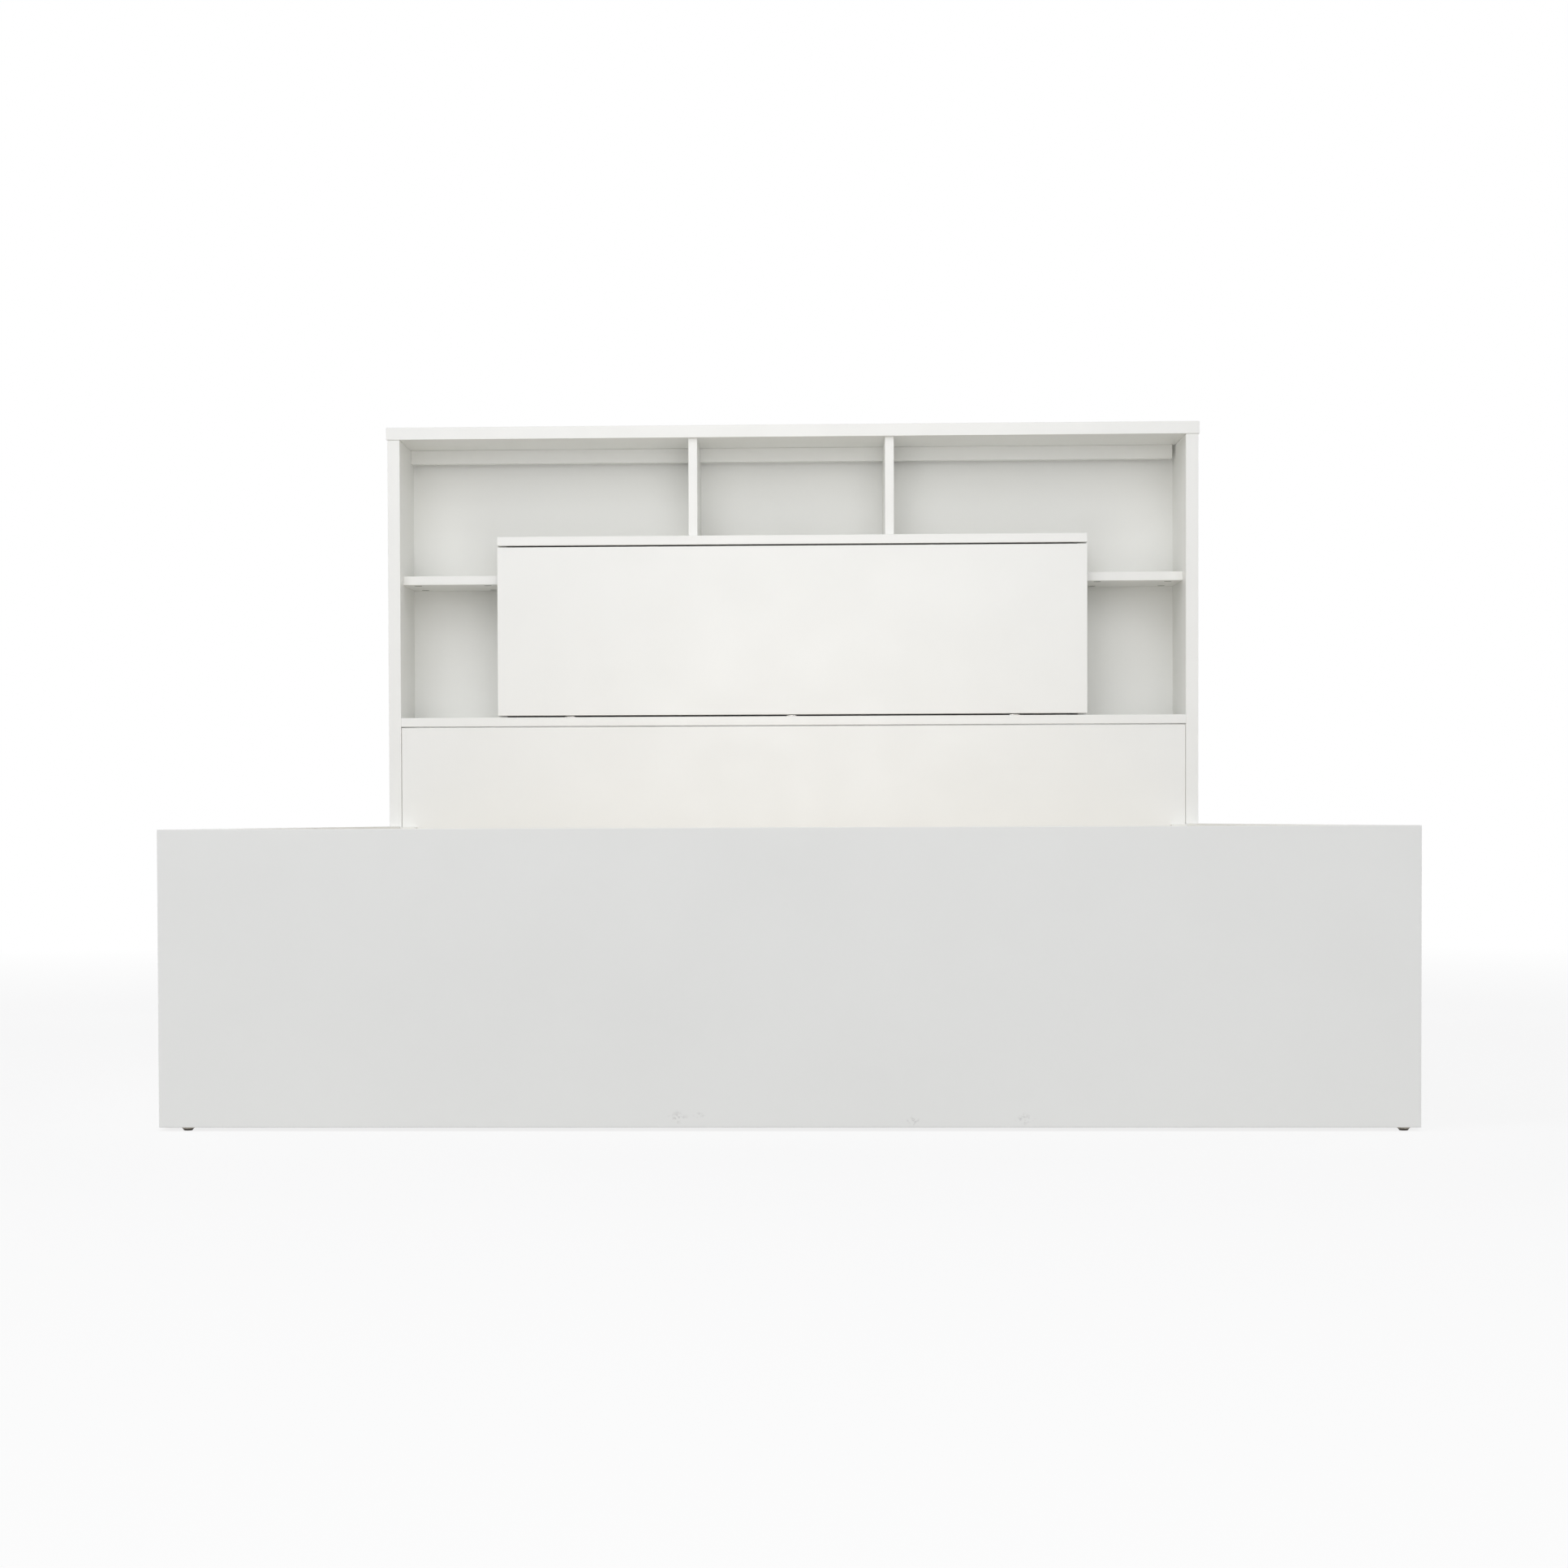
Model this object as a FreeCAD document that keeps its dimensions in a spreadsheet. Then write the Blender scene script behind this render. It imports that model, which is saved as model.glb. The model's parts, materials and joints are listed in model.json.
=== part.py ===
"""Double bed with a bookcase headboard, built from laminated boards.

Frame: X to the right seen from the foot, Y from the foot to the head, Z up. The origin lies on
the floor, in the middle of the bed's outline. Lengths are in millimetres.
"""
import FreeCAD, Part
import os
import re

import Sketcher

doc = FreeCAD.newDocument("bookcase_headboard_bed")

# ---------------------------------------------------------------- driving dimensions
DIMENSIONS = {
    # whole bed
    "bed_width": 1450,
    "bed_length": 2240,
    "bed_height": 1065,
    "thick_board": 22,
    "thin_board": 16,
    "edge_radius": 0.8,
    "foot_gap": 4,
    "rail_top": 349,
    # headboard carcass
    "head_depth": 210,
    "top_overhang": 2,
    "back_inset": 8,
    "back_thickness": 3,
    "back_tongue": 5.5,
    "groove_depth": 6,
    "groove_width": 3.2,
    "floor_level": 528,
    "front_panel_low": 126,
    "front_panel_gap": 2,
    "front_panel_play": 0.5,
    "rear_rail_setback": 165,
    "rear_rail_height": 25,
    "cable_gap": 5,
    "rail_dowel_place": 500,
    "notch_play": 0.5,
    "stretcher_low": 30,
    "stretcher_height": 100,
    "stretcher_dowel": 25,
    "panel_dowel": 60,
    # niches, shelves and cabinet
    "divider_gap": 168,
    "divider_setback": 8,
    "shelf_level": 786,
    "shelf_setback": 45,
    "cabinet_half": 528,
    "cabinet_level": 852,
    "flap_gap": 3,
    "flap_play": 4,
    # flap hinges, whose axis is measured from the flap's lower front edge
    "axis_back": 7.5,
    "axis_up": 9,
    "hinge_spread": 400,
    "cup_radius": 17.5,
    "cup_wall": 0.7,
    "cup_margin": 4,
    "cup_depth": 11.8,
    "cup_play": 0.1,
    "cup_screw_place": 24,
    "flange_half": 11,
    "flange_radius": 19,
    "flange_thickness": 1.2,
    "pin_radius": 1.25,
    "pin_play": 0.05,
    "pin_half_length": 11,
    "knuckle_radius": 2.3,
    "arm_width": 10,
    "arm_front": 1.9,
    "arm_back": 3.5,
    "arm_under": 10.8,
    "arm_over": 14.5,
    "arm_drop": 13.5,
    "arm_thickness": 4,
    "plate_length": 48,
    "plate_width": 18,
    "plate_thickness": 2.5,
    "plate_screw_near": 16,
    "plate_screw_far": 38,
    # push latches
    "latch_spread": 250,
    "latch_width": 14,
    "latch_length": 60,
    "latch_height": 15,
    "latch_setback": 12,
    "latch_ear_width": 40,
    "latch_ear_length": 16,
    "latch_screw_place": 14,
    "plunger_radius": 3.95,
    "plunger_bore": 4,
    "plunger_drop": 9,
    "plunger_length": 46,
    "plunger_room": 8,
    "plunger_tip_radius": 5,
    "plunger_tip_length": 4,
    "strike_radius": 6,
    "strike_thickness": 1,
    "strike_play": 0.3,
    "bumper_radius": 4,
    "bumper_thickness": 3.5,
    "bumper_inset": 40,
    # bed frame
    "block": 28,
    "block_low": 30,
    "block_drop": 1,
    "cleat_width": 25,
    "cleat_height": 30,
    "cleat_top": 229,
    "slat_count": 12,
    "slat_width": 90,
    "slat_thickness": 18,
    "slat_end_gap": 5,
    "slat_margin": 10,
    "strap_place": 560,
    "strap_width": 25,
    "strap_thickness": 1.2,
    "beam_width": 40,
    "beam_height": 70,
    "hanger_thickness": 3,
    "hanger_width": 60,
    "hanger_depth": 40,
    "hanger_height": 60,
    "hanger_screw_place": 26.5,
    "hanger_screw_level": 15,
    "leg_spread": 335,
    "leg_dowel_place": 10,
    # glides under the boards
    "glide_inset_left": 32,
    "glide_inset_right": 18,
    "glide_front": 30,
    "glide_back": 180,
    "glide_cap_radius": 7.3,
    "glide_cap_height": 1.6,
    "glide_radius": 6.5,
    "glide_sole_radius": 5,
    # fasteners
    "dowel_radius": 4,
    "dowel_length": 30,
    "dowel_in_face": 10,
    "dowel_front": 50,
    "dowel_back": 150,
    "hole_play": 0.1,
    "hole_end": 1,
    "cam_radius": 7.4,
    "cam_height": 12.2,
    "cam_place": 24,
    "cam_margin": 25,
    "cam_slot": 1.6,
    "cam_bolt_radius": 2.5,
    "cam_bolt_reach": 11,
    "bolt_radius": 3,
    "bolt_length": 40,
    "bolt_head_radius": 6,
    "bolt_head_height": 4,
    "bolt_socket": 2.3,
    "screw_radius": 2,
    "screw_length": 38,
    "screw_head_radius": 4,
    "screw_head_height": 2.4,
    "tack_radius": 1.6,
    "tack_length": 12,
    "tack_head_radius": 3.2,
    "tack_head_height": 1.6,
}

# Places and sizes that follow from the driving dimensions.
DERIVED = {
    "half_width": "bed_width / 2",
    "inner_half": "half_width - thick_board",
    "board_middle": "half_width - thick_board / 2",
    "foot_front": "0 - bed_length / 2",
    "foot_back": "foot_front + thick_board",
    "head_back": "bed_length / 2",
    "head_front": "head_back - head_depth",
    "back_front": "head_back - back_inset",
    "niche_depth": "head_depth - back_inset",
    "top_level": "bed_height - thick_board",
    "board_height": "rail_top - foot_gap",
    "cabinet_floor": "floor_level + thin_board",
    "cabinet_roof": "cabinet_level + thin_board",
    "panel_face": "head_front + front_panel_gap",
    "cabinet_side_front": "head_front + thin_board + flap_play",
    "flap_back": "head_front + thin_board",
    "flap_low": "cabinet_floor + flap_gap",
    "flap_height": "cabinet_level - flap_gap - flap_low",
    "axis_place": "head_front + axis_back",
    "axis_level": "flap_low + axis_up",
    "cup_level": "flap_low + cup_margin + cup_radius",
    "latch_front": "flap_back + latch_setback",
    "plunger_level": "cabinet_level - plunger_drop",
    "plunger_tip": "flap_back + strike_thickness + strike_play",
    "cleat_front": "foot_back + block",
    "cleat_length": "panel_face - block - cleat_front",
    "slat_start": "cleat_front + slat_margin",
    "slat_run": "cleat_length - 2 * slat_margin - slat_width",
    "beam_low": "cleat_top - beam_height",
    "block_height": "rail_top - block_drop - block_low",
    "frame_middle": "(foot_back + panel_face) / 2",
}

SIDES = ("left", "right")
WORD = re.compile(r"[a-z_]+")


def bind(text):
    """Turn a formula in plain names into one that reads the spreadsheet's cells."""
    def cell(match):
        word = match.group(0)
        if word in DERIVED:
            return "(" + bind(DERIVED[word]) + ")"
        return "Dims." + word
    return WORD.sub(cell, str(text))


def add_sheet():
    """Write every driving dimension into the spreadsheet, under its own alias."""
    sheet = doc.addObject("Spreadsheet::Sheet", "Dims")
    for row, (alias, number) in enumerate(DIMENSIONS.items(), start=1):
        sheet.set(f"A{row}", alias)
        sheet.set(f"B{row}", str(number))
        sheet.setAlias(f"B{row}", alias)
    doc.recompute()


def on_side(side, place):
    """The X of a point that lies this far from the middle, on one side."""
    return f"0 - ({place})" if side == "left" else place


def from_side(side, near, size):
    """The lowest X of a piece whose nearer face lies this far from the middle."""
    return f"0 - ({near}) - ({size})" if side == "left" else near


# ---------------------------------------------------------------- bodies from sketches
# face: (origin plane, size axis that offsets it, sign, cut reversed, sketch axes)
FACES = {
    "left": ("YZ_Plane", None, "", True, (1, 2)),
    "right": ("YZ_Plane", 0, "", False, (1, 2)),
    "front": ("XZ_Plane", None, "", False, (0, 2)),
    "back": ("XZ_Plane", 1, "0 - ", True, (0, 2)),
    "under": ("XY_Plane", None, "", True, (0, 1)),
    "top": ("XY_Plane", 2, "", False, (0, 1)),
}
ORIGIN_POINT = (-1, 1)


def origin_plane(body, role):
    """One of a body's own origin planes."""
    for item in body.Origin.OriginFeatures:
        if item.Role == role:
            return item
    raise RuntimeError(f"no {role} in {body.Label}")


def add_sketch(body, role, offset="0"):
    """A sketch on one of the body's origin planes, moved along the plane's normal."""
    sketch = body.newObject("Sketcher::SketchObject", body.Name + "_sketch")
    sketch.AttachmentSupport = [(origin_plane(body, role), "")]
    sketch.MapMode = "FlatFace"
    sketch.setExpression("AttachmentOffset.Base.z", bind(offset))
    return sketch


def place_point(sketch, geometry, point, where):
    """Hold a point of the sketch at two formulas, from the sketch's origin."""
    for kind, text in zip(("DistanceX", "DistanceY"), where):
        index = sketch.addConstraint(Sketcher.Constraint(kind, *ORIGIN_POINT, geometry, point, 10.0))
        sketch.setExpression(f"Constraints[{index}]", bind(text))


def draw_polygon(sketch, corners):
    """A closed outline through corners that are pairs of formulas."""
    count = len(corners)
    first = sketch.GeometryCount
    for step in range(count):
        start = FreeCAD.Vector(step, step * step, 0)
        end = FreeCAD.Vector(step + 1, (step + 1) * (step + 1), 0)
        sketch.addGeometry(Part.LineSegment(start, end), False)
    for step in range(count):
        following = first + (step + 1) % count
        sketch.addConstraint(Sketcher.Constraint("Coincident", first + step, 2, following, 1))
    for step, corner in enumerate(corners):
        place_point(sketch, first + step, 1, corner)


def draw_rectangle(sketch, low, size):
    """A rectangle from its low corner and its two sizes, all formulas."""
    right = f"{low[0]} + {size[0]}"
    upper = f"{low[1]} + {size[1]}"
    draw_polygon(sketch, [low, (right, low[1]), (right, upper), (low[0], upper)])


def draw_circle(sketch, centre, radius):
    """A circle held by its centre and radius, both formulas."""
    middle = FreeCAD.Vector(sketch.GeometryCount * 5 + 5, 5, 0)
    circle = sketch.addGeometry(Part.Circle(middle, FreeCAD.Vector(0, 0, 1), 1), False)
    place_point(sketch, circle, 3, centre)
    index = sketch.addConstraint(Sketcher.Constraint("Radius", circle, 1.0))
    sketch.setExpression(f"Constraints[{index}]", bind(radius))


def add_body(label, place):
    """An empty body with its place bound to three formulas."""
    body = doc.addObject("PartDesign::Body", label)
    body.Label = label
    for axis, text in zip("xyz", place):
        body.setExpression(f"Placement.Base.{axis}", bind(text))
    return body


def pad(body, sketch, length):
    """Grow a sketch along its normal."""
    sketch.Visibility = False
    feature = body.newObject("PartDesign::Pad", body.Name + "_pad")
    feature.Profile = sketch
    feature.setExpression("Length", bind(length))
    return feature


def pocket(body, sketch, length, backwards):
    """Cut a sketch into the solid, against its normal unless backwards."""
    sketch.Visibility = False
    feature = body.newObject("PartDesign::Pocket", body.Name + "_pocket")
    feature.Profile = sketch
    feature.Reversed = backwards
    feature.setExpression("Length", bind(length))
    return feature


class Board:
    """A rectangular piece with rounded edges, drilled and slotted from its faces."""

    def __init__(self, label, low, size, rounded=True):
        self.low = low
        self.size = size
        self.body = add_body(label, low)
        outline = add_sketch(self.body, "XY_Plane")
        draw_rectangle(outline, ("0", "0"), size[:2])
        base = pad(self.body, outline, size[2])
        if rounded:
            doc.recompute()
            edges = [f"Edge{number}" for number in range(1, len(base.Shape.Edges) + 1)]
            soften = self.body.newObject("PartDesign::Fillet", label + "_edges")
            soften.Base = (base, edges)
            soften.setExpression("Radius", bind("edge_radius"))

    def face_sketch(self, face):
        """A sketch that lies on one face, with the axes that it is drawn in."""
        role, size_axis, sign, backwards, axes = FACES[face]
        offset = "0" if size_axis is None else f"{sign}({self.size[size_axis]})"
        return add_sketch(self.body, role, offset), backwards, axes

    def local(self, axis, text):
        """A place in the bed's frame, measured from the board's low corner."""
        return f"({text}) - ({self.low[axis]})"

    def drill(self, face, places, radius, depth):
        """Round holes of one size at places in the bed's frame."""
        sketch, backwards, axes = self.face_sketch(face)
        for place in places:
            centre = tuple(self.local(axis, place[axis]) for axis in axes)
            draw_circle(sketch, centre, radius)
        return pocket(self.body, sketch, depth, backwards)

    def slot(self, face, low, size, depth):
        """A square-ended slot from its low corner in the bed's frame."""
        sketch, backwards, axes = self.face_sketch(face)
        corner = tuple(self.local(axis, low[axis]) for axis in axes)
        draw_rectangle(sketch, corner, tuple(size[axis] for axis in axes))
        return pocket(self.body, sketch, depth, backwards)


# ---------------------------------------------------------------- rods and fasteners
X_AXIS = FreeCAD.Vector(1, 0, 0)
Y_AXIS = FreeCAD.Vector(0, 1, 0)
TURNS = {
    "+x": FreeCAD.Rotation(Y_AXIS, 90),
    "-x": FreeCAD.Rotation(Y_AXIS, -90),
    "+y": FreeCAD.Rotation(X_AXIS, -90),
    "-y": FreeCAD.Rotation(X_AXIS, 90),
    "+z": FreeCAD.Rotation(),
    "-z": FreeCAD.Rotation(X_AXIS, 180),
}
OPPOSITE = {"+": "-", "-": "+"}
groups = {}


def set_place(thing, place, turn):
    """Turn a primitive and bind its place to three formulas."""
    thing.Placement = FreeCAD.Placement(FreeCAD.Vector(), TURNS[turn])
    for axis, text in zip("xyz", place):
        thing.setExpression(f"Placement.Base.{axis}", bind(text))


def shifted(place, direction, distance):
    """The place moved along one axis direction by a formula."""
    moved = list(place)
    axis = "xyz".index(direction[1])
    moved[axis] = f"({moved[axis]}) {direction[0]} ({distance})"
    return tuple(moved)


def rod(name, place, direction, length, radius):
    """A round rod that starts at a place and runs in a direction."""
    cylinder = doc.addObject("Part::Cylinder", name)
    cylinder.setExpression("Radius", bind(radius))
    cylinder.setExpression("Height", bind(length))
    set_place(cylinder, place, direction)
    return cylinder


def joined(name, pieces):
    """Pieces fused into one solid."""
    fuse = doc.addObject("Part::MultiFuse", name)
    fuse.Shapes = pieces
    fuse.Refine = True
    return fuse


def cut(name, base, tool):
    """One solid with another cut away."""
    difference = doc.addObject("Part::Cut", name)
    difference.Base = base
    difference.Tool = tool
    return difference


def into_group(label, thing):
    """Add one of several like pieces to the sub-part that holds them all."""
    groups.setdefault(label, []).append(thing)


def headed(name, place, direction, kind):
    """A bolt, screw or tack whose head's underside lies at the place."""
    behind = OPPOSITE[direction[0]] + direction[1]
    head = rod(name + "_head", place, behind, f"{kind}_head_height", f"{kind}_head_radius")
    shank = rod(name + "_shank", place, direction, f"{kind}_length", f"{kind}_radius")
    return joined(name, [head, shank])


def dowel(place, direction, face_joint, edge_joint, gap="0"):
    """A dowel from one board's face into another's edge, and the holes that hold it.

    The place lies on the first board's face, and the direction runs into the second board.
    Each joint is (board, drilled face). gap is the space that the second board stands off.
    """
    behind = OPPOSITE[direction[0]] + direction[1]
    start = shifted(place, behind, "dowel_in_face")
    into_group("carcass_dowels", rod("dowel", start, direction, "dowel_length", "dowel_radius"))
    bore = "dowel_radius + hole_play / 2"
    face_board, face = face_joint
    edge_board, edge = edge_joint
    face_board.drill(face, [place], bore, "dowel_in_face + hole_end")
    edge_board.drill(edge, [place], bore, f"dowel_length - dowel_in_face + hole_end - ({gap})")


# ---------------------------------------------------------------- bed frame
def bed_frame(front_panel):
    """Foot board, side rails, corner blocks and the cleats that carry the slats."""
    low = ("0 - half_width", "foot_front", "foot_gap")
    foot_board = Board("foot_board", low, ("bed_width", "thick_board", "board_height"))
    for side in SIDES:
        rail_low = (from_side(side, "inner_half", "thick_board"), "foot_back", "foot_gap")
        rail_size = ("thick_board", "head_front - foot_back", "board_height")
        rail = Board(f"side_rail_{side}", rail_low, rail_size)
        corner_block("foot", side, rail, foot_board)
        corner_block("head", side, rail, front_panel)
        cleat_low = (from_side(side, "inner_half - cleat_width", "cleat_width"), "cleat_front",
                     "cleat_top - cleat_height")
        cleat = Board(f"slat_cleat_{side}", cleat_low, ("cleat_width", "cleat_length", "cleat_height"))
        cleat_x = on_side(side, "inner_half - cleat_width")
        cleat_places = [(cleat_x, f"cleat_front + cleat_length * {part} / 12",
                         "cleat_top - cleat_height / 2") for part in range(1, 12, 2)]
        fix_to_rail(side, cleat, rail, cleat_places, "cleat_width")
    return foot_board


def corner_block(end, side, rail, board):
    """A post screwed to a rail and bolted to the board across the rail's end."""
    at_foot = end == "foot"
    block_y = "foot_back" if at_foot else "panel_face - block"
    head_y = "foot_back + block" if at_foot else "panel_face - block"
    inwards = "-y" if at_foot else "+y"
    bolted_face, head_face = ("back", "back") if at_foot else ("front", "front")
    block = Board(f"corner_block_{end}_{side}",
                  (from_side(side, "inner_half - block", "block"), block_y, "block_low"),
                  ("block", "block", "block_height"))
    bolt_x = on_side(side, "inner_half - block / 2")
    bolt_places = [(bolt_x, head_y, f"block_low + block_height * {part} / 3") for part in (1, 2)]
    bore = "bolt_radius + hole_play"
    block.drill(head_face, bolt_places, bore, "block")
    board.drill(bolted_face, bolt_places, bore, "bolt_length - block + hole_end")
    for place in bolt_places:
        into_group("corner_bolts", socket_bolt(place, inwards))
    screw_x = on_side(side, "inner_half - block")
    screw_places = [(screw_x, f"{block_y} + block / 2", f"block_low + block_height * {part} / 6")
                    for part in (1, 3, 5)]
    fix_to_rail(side, block, rail, screw_places, "block")


def socket_bolt(place, direction):
    """A bolt with a round head that has a six-sided socket."""
    behind = OPPOSITE[direction[0]] + direction[1]
    socket = doc.addObject("Part::Prism", "bolt_socket")
    socket.Polygon = 6
    socket.setExpression("Circumradius", bind("bolt_socket"))
    socket.setExpression("Height", bind("bolt_head_height"))
    set_place(socket, shifted(place, behind, "bolt_head_height / 2"), behind)
    return cut("socket_bolt", headed("corner_bolt", place, direction, "bolt"), socket)


def fix_to_rail(side, piece, rail, places, thickness):
    """Screws through a piece into the rail beside it, with their holes."""
    inner_face = "right" if side == "left" else "left"
    outwards = "-x" if side == "left" else "+x"
    bore = "screw_radius + hole_play / 2"
    piece.drill(inner_face, places, bore, thickness)
    rail.drill(inner_face, places, bore, f"screw_length - {thickness} + hole_end")
    for place in places:
        into_group("frame_screws", headed("frame_screw", place, outwards, "screw"))


def centre_support(foot_board, front_panel):
    """The beam under the slats, the hangers that hold its ends, and two legs."""
    beam_low = ("0 - beam_width / 2", "foot_back + hanger_thickness", "beam_low")
    beam_length = "panel_face - foot_back - 2 * hanger_thickness"
    beam = Board("centre_beam", beam_low, ("beam_width", beam_length, "beam_height"))
    beam_hanger("foot", foot_board)
    beam_hanger("head", front_panel)
    for number, sign in ((1, "-"), (2, "+")):
        leg_y = f"frame_middle {sign} leg_spread"
        leg = Board(f"centre_leg_{number}", ("0 - beam_width / 2", f"{leg_y} - beam_width / 2", "foot_gap"),
                    ("beam_width", "beam_width", "beam_low - foot_gap"))
        for place_x in ("0 - leg_dowel_place", "leg_dowel_place"):
            dowel((place_x, leg_y, "beam_low"), "-z", (beam, "under"), (leg, "top"))


def beam_hanger(end, board):
    """A folded steel hanger that holds one end of the beam against a board."""
    at_foot = end == "foot"
    plate_y = "foot_back" if at_foot else "panel_face - hanger_thickness"
    low = ("0 - hanger_width / 2", plate_y, "beam_low - hanger_thickness")
    plate = Board(f"hanger_{end}", low, ("hanger_width", "hanger_thickness", "hanger_height"),
                  rounded=False)
    reach = "hanger_thickness" if at_foot else "0 - hanger_depth"
    cheek = "(beam_width / 2 + hanger_thickness)"
    middle = "hanger_width / 2"
    seat = add_sketch(plate.body, "XY_Plane")
    draw_rectangle(seat, (f"{middle} - {cheek}", reach), (f"2 * {cheek}", "hanger_depth"))
    pad(plate.body, seat, "hanger_thickness")
    for start in (f"{middle} - {cheek}", f"{middle} + beam_width / 2"):
        wall = add_sketch(plate.body, "XY_Plane")
        draw_rectangle(wall, (start, reach), ("hanger_thickness", "hanger_depth"))
        pad(plate.body, wall, "hanger_height")
    head_y = f"{plate_y} + hanger_thickness" if at_foot else plate_y
    places = [(place_x, head_y, level)
              for place_x in ("0 - hanger_screw_place", "hanger_screw_place")
              for level in (f"{low[2]} + hanger_screw_level",
                            f"{low[2]} + hanger_height - hanger_screw_level")]
    inwards, face = ("-y", "back") if at_foot else ("+y", "front")
    tack_down(places, inwards, (plate, face, "hanger_thickness"), (board, face))
    into_group("beam_hangers", plate.body)


def tack_down(places, direction, outer, inner):
    """Short screws through a thin piece into a board, with their holes.

    outer is (piece, drilled face, thickness), with no piece where its own sketch makes its
    holes, and inner is (board, drilled face).
    """
    piece, piece_face, thickness = outer
    board, board_face = inner
    bore = "tack_radius + hole_play / 2"
    if piece is not None:
        piece.drill(piece_face, places, bore, thickness)
    board.drill(board_face, places, bore, f"tack_length - {thickness} + hole_end")
    for place in places:
        into_group("fitting_screws", headed("fitting_screw", place, direction, "tack"))


def slatted_base():
    """Slats laid across the cleats, held at their pitch by two woven straps under them."""
    half_length = "inner_half - slat_end_gap"
    for number in range(DIMENSIONS["slat_count"]):
        start = f"slat_start + slat_run * {number} / (slat_count - 1)"
        Board(f"slat_{number + 1:02d}", (f"0 - ({half_length})", start, "cleat_top"),
              (f"2 * ({half_length})", "slat_width", "slat_thickness"))
    for side in SIDES:
        strap_low = (from_side(side, "strap_place", "strap_width"), "slat_start",
                     "cleat_top - strap_thickness")
        Board(f"slat_strap_{side}", strap_low,
              ("strap_width", "slat_run + slat_width", "strap_thickness"), rounded=False)


# ---------------------------------------------------------------- headboard
def headboard():
    """The headboard's boards, dowelled together. Returns those that carry fittings."""
    carcass = {}
    for side in SIDES:
        side_low = (from_side(side, "inner_half", "thick_board"), "head_front", "foot_gap")
        carcass[side] = Board(f"head_side_{side}", side_low,
                              ("thick_board", "head_depth", "top_level - foot_gap"))
    top_low = ("0 - half_width - top_overhang", "head_front - top_overhang", "top_level")
    top = Board("head_top", top_low,
                ("bed_width + 2 * top_overhang", "head_depth + top_overhang", "thick_board"))
    shelf_low = ("0 - inner_half", "head_front", "floor_level")
    floor_shelf = Board("head_floor_shelf", shelf_low, ("2 * inner_half", "niche_depth", "thin_board"))
    panel_low = ("0 - inner_half + front_panel_play", "panel_face", "front_panel_low")
    panel_size = ("2 * (inner_half - front_panel_play)", "thin_board",
                  "floor_level - front_panel_gap - front_panel_low")
    front_panel = Board("head_front_panel", panel_low, panel_size)
    stretcher_low = ("0 - inner_half", "back_front - thin_board", "stretcher_low")
    stretcher = Board("head_rear_stretcher", stretcher_low,
                      ("2 * inner_half", "thin_board", "stretcher_height"))
    back_panel = back_panel_in_grooves(carcass, top)
    rail_low = ("0 - inner_half", "head_front + rear_rail_setback", "top_level - rear_rail_height")
    rear_rail = Board("head_rear_rail", rail_low,
                      ("2 * inner_half - cable_gap", "thin_board", "rear_rail_height"))
    for place_x in ("0 - rail_dowel_place", "0", "rail_dowel_place"):
        dowel((place_x, f"{rail_low[1]} + thin_board / 2", "top_level"), "-z",
              (top, "under"), (rear_rail, "top"))
    for side in SIDES:
        board = carcass[side]
        side_face = (board, "right" if side == "left" else "left")
        inwards = "+x" if side == "left" else "-x"
        joint_x = on_side(side, "inner_half")
        for inset in ("dowel_front", "dowel_back"):
            dowel((on_side(side, "board_middle"), f"head_front + {inset}", "top_level"), "-z",
                  (top, "under"), (board, "top"))
            dowel((joint_x, f"head_front + {inset}", "floor_level + thin_board / 2"), inwards,
                  side_face, (floor_shelf, side))
        for level in ("stretcher_low + stretcher_dowel",
                      "stretcher_low + stretcher_height - stretcher_dowel"):
            dowel((joint_x, "back_front - thin_board / 2", level), inwards,
                  side_face, (stretcher, side))
        for level in ("front_panel_low + panel_dowel",
                      "floor_level - front_panel_gap - panel_dowel"):
            dowel((joint_x, "panel_face + thin_board / 2", level), inwards,
                  side_face, (front_panel, side), gap="front_panel_play")
    return carcass, top, floor_shelf, front_panel, back_panel


def back_panel_in_grooves(carcass, top):
    """The thin back, held in grooves of the sides and the top."""
    reach = "inner_half + back_tongue"
    back_low = (f"0 - ({reach})", "back_front", "floor_level")
    size = (f"2 * ({reach})", "back_thickness", "top_level + back_tongue - floor_level")
    back_panel = Board("head_back_panel", back_low, size, rounded=False)
    for side in SIDES:
        inner_face = "right" if side == "left" else "left"
        carcass[side].slot(inner_face, ("0", "back_front", "floor_level - hole_end"),
                           ("0", "groove_width", "top_level - floor_level + hole_end"), "groove_depth")
    top.slot("under", ("0 - inner_half - groove_depth", "back_front", "0"),
             ("2 * (inner_half + groove_depth)", "groove_width", "0"), "groove_depth")
    return back_panel


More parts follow.
